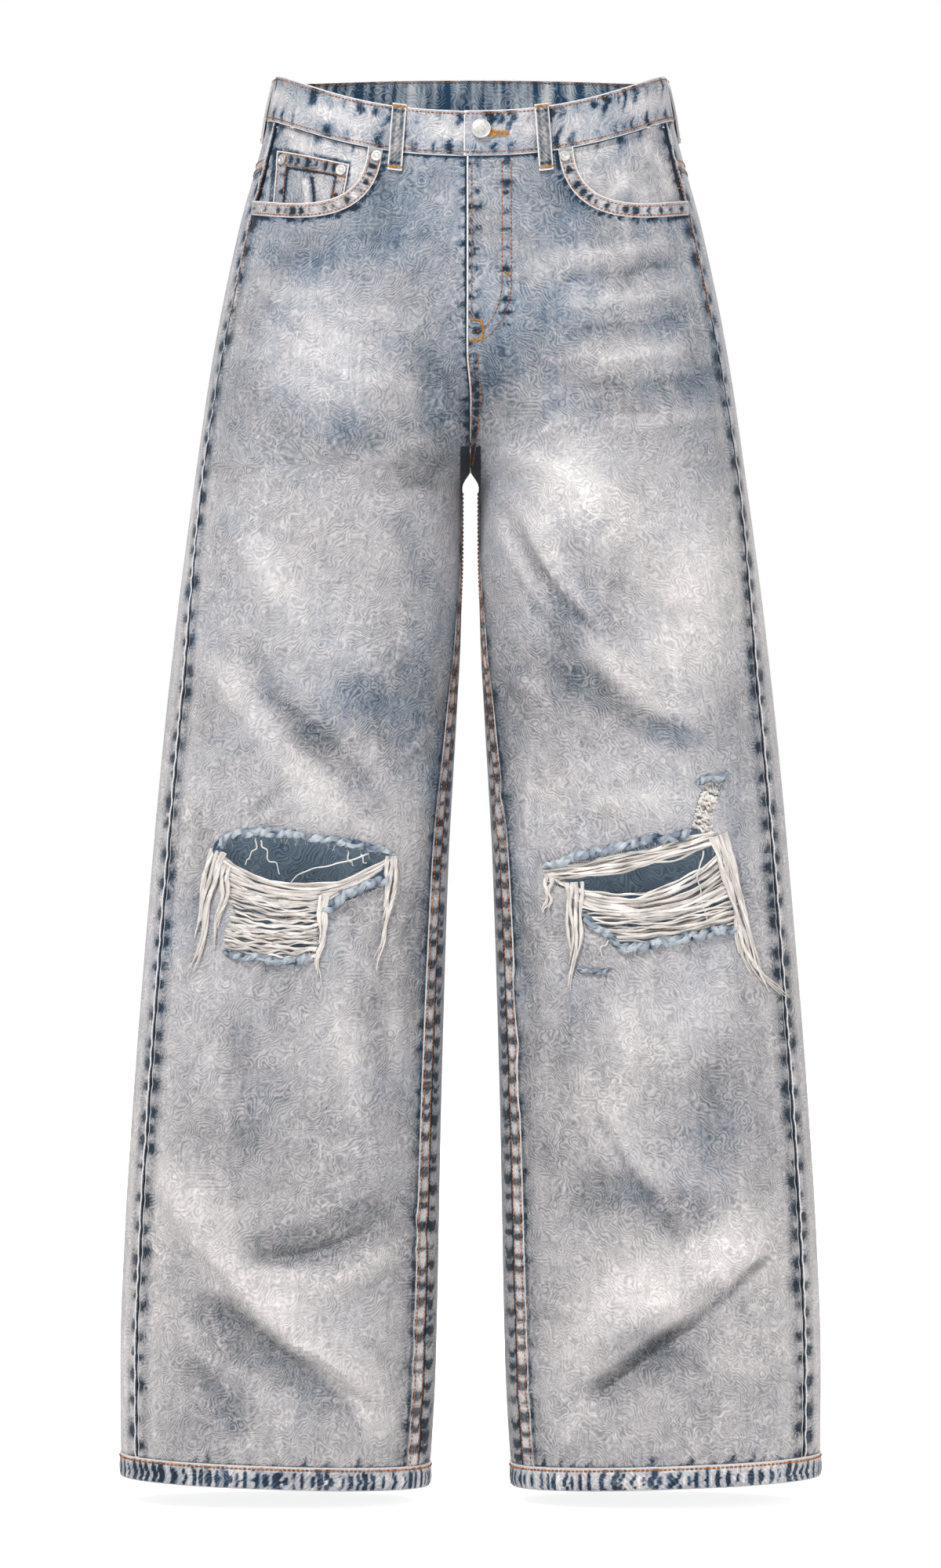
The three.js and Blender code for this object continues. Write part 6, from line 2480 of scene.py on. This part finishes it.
class TornKnees(Garment):
    """The threads, curled edges and fringes of the torn knees."""

    def web(self, side: Side) -> None:
        """The weft threads left across the hole."""
        draw = np.random.default_rng(201 + side.number)
        strands: list[Strand] = []
        for band in RIPS[side].bands:
            left, right = soften(band.left, 1), soften(band.right, 1)
            for k in range(int(1.8 * band.threads)):
                share = np.clip((k % band.threads + draw.uniform(-0.4, 0.4)) / max(1, band.threads - 1), 0, 1)
                start = self.along(left, share)
                end = self.along(right, np.clip(share + draw.normal(0, 0.06), 0, 1))
                sag = mix(band.sag[0], band.sag[1], share)
                strands.append(self.weft(side, start, end, sag, k < band.threads, draw))
        piece = Sweep(5).make(f"torn_threads_{side.value}", strands)
        self.finish(piece, (self.palette.raw,), "raw_thread", [f"rip_threads_{side.value}"], 80)

    @staticmethod
    def along(line: Array, share: float) -> Array:
        """The point a share of the way along a line."""
        spots = respace(line, 0.5)
        return spots[int(round(share * (len(spots) - 1)))]

    @staticmethod
    def weft(
        side: Side, start: Array, end: Array, sag: float, front: bool, draw: np.random.Generator,
    ) -> Strand:
        """One thread from edge to edge, sagging and wavering, in the front or the back layer."""
        count = 34
        t = np.linspace(-0.03, 1.03, count)
        wave = draw.uniform(0.5, 1.5) * np.sin(t * draw.uniform(7, 18) + draw.uniform(0, 6))
        wave = wave + draw.uniform(0.2, 0.6) * np.sin(t * draw.uniform(20, 34) + draw.uniform(0, 6))
        x = mix(start[0], end[0], t)
        z = mix(start[1], end[1], t) - 4 * sag * t * (1 - t) * draw.uniform(0.85, 1.15) + wave
        ends = np.minimum(t + 0.03, 1.03 - t)
        depth = -0.9 + 1.4 * bell(ends, 0.05) + draw.uniform(-0.6, 0.9)
        depth = depth + 0.4 * np.sin(t * 11 + draw.uniform(0, 6)) - (0.0 if front else 1.8)
        line = FORM.at(side, Face.FRONT, x, z, depth)
        thick = draw.uniform(0.7, 1.35) if front else draw.uniform(0.5, 0.9)
        lumps = 1 + 0.25 * np.sin(t * draw.uniform(20, 50) + draw.uniform(0, 6))
        radius = thick * lumps * smooth(ends * 25 + 0.25)
        # Painted shade: the back layer's threads are darker than the front's.
        shade = draw.uniform(0.45, 1.0) if front else draw.uniform(0.0, 0.35)
        return Strand(line, radius, shade + 0.22 * np.sin(t * draw.uniform(9, 30) + draw.uniform(0, 6)))

    def fringe(self, side: Side, fringe: Fringe, number: int) -> None:
        """One hanging bundle: a few wavy locks, each of threads that cling together and part at the tips."""
        draw = np.random.default_rng(230 + number + 10 * side.number)
        spine = respace(soften(fringe.line, 2), 1.8)
        run = np.linspace(0, 1, len(spine))
        along = unit(np.gradient(spine, axis=0))
        across = np.stack([-along[:, 1], along[:, 0]], axis=1)
        locks = max(2, fringe.threads // 5)
        strands = []
        for lock in range(locks):
            place = (lock + 0.5) / locks - 0.5 + draw.normal(0, 0.06)
            length = draw.uniform(0.55, 0.95) if lock != locks // 2 else 1.0
            swing = draw.uniform(0.8, 2.0) * np.sin(run * draw.uniform(6, 13) + draw.uniform(0, 6))
            swing = swing * smooth(run * 4)
            middle = mix(fringe.width[0], fringe.width[1], run) * place + swing + draw.normal(0, 1.2) * run
            for _ in range(5):
                reach = length * draw.uniform(0.78, 1.04)
                keep = run <= max(reach, 0.3)
                turn = run * draw.uniform(8, 16) + draw.uniform(0, 6)
                stray = draw.normal(0, 1.6) * run**4
                width = middle + 0.75 * np.sin(turn) + stray
                spot = spine + across * width[:, None]
                height = 2.1 + 0.8 * np.cos(turn) + 0.5 * np.sin(run * 7 + lock) - 1.2 * bell(run, 0.10)
                line = FORM.at(side, Face.FRONT, spot[keep, 0], spot[keep, 1], height[keep])
                t = run[keep] / run[keep][-1]
                lumps = 1 + 0.2 * np.sin(t * draw.uniform(20, 50) + draw.uniform(0, 6))
                radius = draw.uniform(0.72, 1.2) * (1 - 0.62 * t**2) * lumps * smooth((1 - t) * 30 + 0.25)
                strands.append(Strand(line, radius, draw.uniform(0.5, 1.0)))
        name = f"fringe_threads_{side.value}_{number}"
        nodes = [fringe.node] if fringe.node else []
        self.finish(Sweep(6).make(name, strands), (self.palette.raw,), "raw_thread", nodes, 80)

    def lips(self, side: Side) -> None:
        """The curled indigo edges, each of a few crumpled folds wound loosely together."""
        sweep, strands = Sweep(8), []
        for number, lip in enumerate(RIPS[side].lips):
            flat = respace(soften(lip.line, 2), 0.8)
            lumps = Noise(300 + number + 20 * side.number)
            run = np.arange(len(flat)) * 0.8
            ends = smooth(run / 6) * smooth((run[-1] - run) / 6)
            x = flat[:, 0] + 0.5 * lumps(run / 6, 3.0)
            z = flat[:, 1] + 1.3 * lumps(run / 7, 3.0)
            spine = FORM.at(side, Face.FRONT, x, z, 1.3 + 0.6 * lumps(run / 5, 7.0))
            out = unit(FORM.at(side, Face.FRONT, x, z, 5.0) - spine)
            across = unit(np.cross(unit(np.gradient(spine, axis=0)), out))
            for fold in range(4):
                phase = fold * math.pi / 2 + 2 * math.pi * run / 26 + 2.8 * lumps(run / 8, 11.0 + fold)
                swing = 0.5 * lip.radius * (0.4 + 0.6 * ends)
                sway, rise = swing * np.cos(phase), swing * np.sin(phase)
                line = spine + sway[:, None] * across + rise[:, None] * out
                turn = np.linspace(0, 2 * math.pi, sweep.sides, endpoint=False)
                bump = lumps(run[:, None] / 2.6 + 5 * fold, turn[None, :] * 1.2 + 3 * fold)
                thick = 0.62 * lip.radius * (0.35 + 0.65 * ends)
                radius = thick[:, None] * (1 + lip.lumps * bump)
                # Painted highlight and shade: the folds that stand out are lighter and those turned in are
                # darker; the noise varies it at random.
                shade = 0.30 + 0.38 * np.sin(phase) + 0.38 * lumps(run / 3.2, 17.0 + fold)
                strands.append(Strand(line, radius, shade))
        piece = sweep.make(f"curled_edges_{side.value}", strands)
        self.finish(piece, (self.palette.frayed,), "denim_dark", degrees=80)

    def fuzz(self, side: Side) -> None:
        """Short indigo and white thread ends along the tears, and the strays across the hole."""
        draw = np.random.default_rng(260 + side.number)
        white, blue = [], []
        for stray in RIPS[side].strays:
            line = respace(soften(stray, 2), 1.4)
            t = np.linspace(0, 1, len(line))
            curl = Noise(280 + len(white))
            x = line[:, 0] + 3.0 * curl(t * 6, 1.5) * smooth(t * 5)
            z = line[:, 1] + 3.4 * curl(t * 6, 7.5) * smooth(t * 5)
            points = FORM.at(side, Face.FRONT, x, z, 0.6 + np.sin(t * 5))
            white.append(Strand(points, 0.62 * (1 - 0.45 * t), 0.8))
        outline = respace(np.array(RIPS[side].hole + RIPS[side].hole[:1]), 1.0)
        ahead = unit(np.gradient(outline, axis=0))
        inward = np.stack([ahead[:, 1], -ahead[:, 0]], axis=1)
        middle = np.array(RIPS[side].hole).mean(axis=0)
        facing = np.sign(np.sum(inward * (middle - outline), axis=1))
        inward = inward * facing[:, None]
        for k in range(0, len(outline), 2):
            reach = draw.uniform(1.5, 6.5)
            lean = draw.normal(0, 0.5)
            t = np.linspace(0, 1, 7)[:, None]
            way = inward[k] + ahead[k] * lean
            spot = outline[k] - inward[k] * 0.8 + way * t * reach + np.array([0, -1.2]) * t**2 * reach * 0.4
            t = t[:, 0]
            line = FORM.at(side, Face.FRONT, spot[:, 0], spot[:, 1], 0.3 + 0.8 * t * draw.uniform(-1, 1))
            strand = Strand(line, draw.uniform(0.18, 0.34) * (1 - 0.5 * t), draw.uniform(0.2, 1.0))
            (white if draw.uniform() < 0.55 else blue).append(strand)
        for colour, strands, material, slot in (
            ("white", white, self.palette.raw, "raw_thread"),
            ("blue", blue, self.palette.frayed, "denim_dark"),
        ):
            piece = Sweep(4).make(f"thread_ends_{colour}_{side.value}", strands)
            self.finish(piece, (material,), slot, degrees=80)

    def build(self) -> None:
        """Makes both knees."""
        for side in Side:
            self.web(side)
            for number, fringe in enumerate(RIPS[side].fringes, start=1):
                self.fringe(side, fringe, number)
            self.lips(side)
            self.fuzz(side)


@dataclass(frozen=True)
class Stud:
    """A metal piece set on the cloth: its name, node, side, place, offset from the panel and size."""

    name: str
    node: str
    side: Side
    place: Point
    offset: float
    radius: float
    height: float
    dished: bool


class Hardware(Garment):
    """The waist button and the rivets."""

    STUDS = (
        Stud("waist_button_metal", "waist_button", Side.LEFT, (8, -51), 1.0, 7.4, 3.0, False),
        Stud("pocket_rivet_metal_right", "pocket_rivet_right", Side.RIGHT, (71, -71), 2.3, 4.1, 1.3, True),
        Stud("pocket_rivet_metal_left", "pocket_rivet_left", Side.LEFT, (71, -71), 2.3, 4.1, 1.3, True),
        Stud("coin_rivet_metal_outer", "coin_rivet_outer", Side.RIGHT, (145, -69), -0.5, 4.1, 1.3, True),
        Stud("coin_rivet_metal_inner", "coin_rivet_inner", Side.RIGHT, (99, -80.5), -0.5, 4.1, 1.3, True),
    )

    DISHED = ((0.34, 0.0), (0.14, -0.55), (0.12, 0.0), (0.08, 0.35))
    CROWNED = ((0.10, 0.0), (0.05, -0.10), (0.10, 0.12), (0.30, 0.10))

    def stud(self, stud: Stud) -> None:
        """Turns one piece: a disc with a rolled rim, crowned or dished with a small boss."""
        Workshop.clear()
        radius, height = stud.radius * MM, stud.height * MM
        middle = (0, 0, height / 2)
        bpy.ops.mesh.primitive_cylinder_add(vertices=48, radius=radius, depth=height, location=middle)
        piece = Workshop.name(bpy.context.object, stud.name)
        bpy.ops.object.transform_apply(location=True, rotation=False, scale=False)
        bpy.ops.object.mode_set(mode="EDIT")
        bpy.ops.mesh.select_mode(type="FACE")
        self.pick_top(piece)
        for inset, rise in self.DISHED if stud.dished else self.CROWNED:
            bpy.ops.mesh.inset(thickness=radius * inset, depth=height * rise)
        bpy.ops.object.mode_set(mode="OBJECT")
        Workshop.apply(piece, "BEVEL", width=0.28 * MM, segments=3, limit_method="ANGLE")
        self.set_on(piece, stud)
        self.finish(piece, (self.palette.metal,), "metal", [stud.node], 35)

    @staticmethod
    def pick_top(piece: bpy.types.Object) -> None:
        """Selects the face that points up."""
        bpy.ops.mesh.select_all(action="DESELECT")
        bpy.ops.object.mode_set(mode="OBJECT")
        for face in piece.data.polygons:
            face.select = face.normal.z > 0.9
        bpy.ops.object.mode_set(mode="EDIT")

    @staticmethod
    def set_on(piece: bpy.types.Object, stud: Stud) -> None:
        """Places the mesh on the cloth, standing out along its normal."""
        x, z = np.array(stud.place, dtype=float)
        foot, out = lift_off(partial(FORM.at, stud.side, Face.FRONT, x, z), stud.offset)
        first = unit(np.cross(np.array([0.0, 0.0, 1.0]), out))
        second = np.cross(out, first)
        mesh = piece.data
        placed = foot * MM + read_out(mesh.vertices, "co", 3) @ np.stack([first, second, out])
        mesh.vertices.foreach_set("co", placed.ravel())
        mesh.update()

    def build(self) -> None:
        """Makes the button and the rivets."""
        for stud in self.STUDS:
            self.stud(stud)


# ---------------------------------------------------------------- the studio


@dataclass(frozen=True)
class Studio:
    """A pale floor, soft lights and a level camera in front of the garment.

    Attributes:
        distance: From the camera to the garment's middle, in metres.
        view_height: What the picture's height shows at that distance, in metres.
        middle: The height that the camera looks at, in metres.
        sensor: The camera's sensor, in millimetres.
        clearance: How far the floor is below the hems, in metres.
    """

    distance: float = 4.6
    view_height: float = 1.22
    middle: float = -0.549
    sensor: float = 36.0
    clearance: float = 0.012

    LAMPS = (
        ("key", (-2.0, -4.0, 4.4), (0, 0, -0.6), 1.2, 330),
        ("fill", (2.6, -3.2, 0.2), (0, 0, -0.6), 2.4, 34),
        ("back", (1.8, 4.4, 3.4), (0, 0, -0.5), 2.0, 230),
    )

    def camera(self) -> None:
        """Adds the camera, with its longer side upright."""
        data = bpy.data.cameras.new("camera")
        data.sensor_width = self.sensor
        data.lens = self.sensor * self.distance / self.view_height
        data.clip_end = 200
        piece = bpy.data.objects.new("camera", data)
        piece.location = (0, -self.distance, self.middle)
        piece.rotation_euler = (math.pi / 2, 0, 0)
        bpy.context.scene.collection.objects.link(piece)
        bpy.context.scene.camera = piece

    def floor(self) -> None:
        """Adds a wide white floor just under the hems."""
        Workshop.clear()
        bpy.ops.mesh.primitive_plane_add(size=120, location=(0, 0, CAD_BOX[0][2] - self.clearance))
        piece = Workshop.name(bpy.context.object, "floor")
        material, g, shader = new_material("White floor")
        g.fix(shader, {"Base Color": (0.93, 0.93, 0.93, 1), "Roughness": 0.9, "Emission Color": (1, 1, 1, 1)})
        seen = g.node("ShaderNodeLightPath").outputs["Is Camera Ray"]
        g.feed(shader.inputs["Emission Strength"], g.math("MULTIPLY", seen, 0.78))
        piece.data.materials.append(material)

    def light(
        self, name: str, place: Sequence[float], aim: Sequence[float], size: float, power: float,
    ) -> bpy.types.Object:
        """Adds one soft square light.

        Args:
            name: Its name.
            place: Where it hangs.
            aim: What it points at.
            size: Its width.
            power: Its power in watts.

        Returns:
            The light.
        """
        data = bpy.data.lights.new(name, "AREA")
        data.size = size
        data.energy = power
        piece = bpy.data.objects.new(name, data)
        piece.location = place
        way = np.array(aim, dtype=float) - np.array(place, dtype=float)
        flat = math.hypot(way[0], way[1])
        piece.rotation_euler = (math.atan2(flat, -way[2]), 0, math.atan2(way[1], way[0]) - math.pi / 2)
        bpy.context.scene.collection.objects.link(piece)
        return piece

    def world(self) -> None:
        """Surrounds the studio with white, softer for the cloth than for the camera."""
        world = bpy.data.worlds.new("studio")
        world.use_nodes = True
        g = Graph(world.node_tree)
        back = world.node_tree.nodes["Background"]
        g.fix(back, {"Color": (1, 1, 1, 1)})
        ray = g.node("ShaderNodeLightPath").outputs["Is Camera Ray"]
        g.feed(back.inputs["Strength"], g.math("MULTIPLY_ADD", ray, 0.66, 0.34))
        bpy.context.scene.world = world

    def build(self) -> None:
        """Sets the studio up."""
        self.camera()
        self.world()
        self.floor()
        for lamp in self.LAMPS:
            self.light(*lamp)
        for side in Side:
            knee = 0.125 * side.sign
            inner = self.light(f"inside_{side.value}", (knee, -0.03, -0.50), (knee, 0.09, -0.64), 0.07, 0.38)
            inner.visible_camera = False
        scene = bpy.context.scene
        scene.view_settings.view_transform = "Standard"
        scene.view_settings.look = "None"


def main() -> None:
    """Builds the studio and the garment, piece by piece, and logs how many pieces it made."""
    Studio().build()
    palette = Palette()
    tan, ochre = Stitching(), Stitching()
    parts: list[Garment] = [
        Panels(palette), Bands(palette), Pockets(palette), BeltLoops(palette, ochre),
        Topstitching(palette, tan, ochre), TornKnees(palette), Hardware(palette),
    ]
    for part in parts:
        part.build()
    count = sum(len(part.made) for part in parts)
    log.info("%d pieces made", count)


if __name__ == "__main__":
    logging.basicConfig(level=logging.INFO, format="%(message)s")
    main()
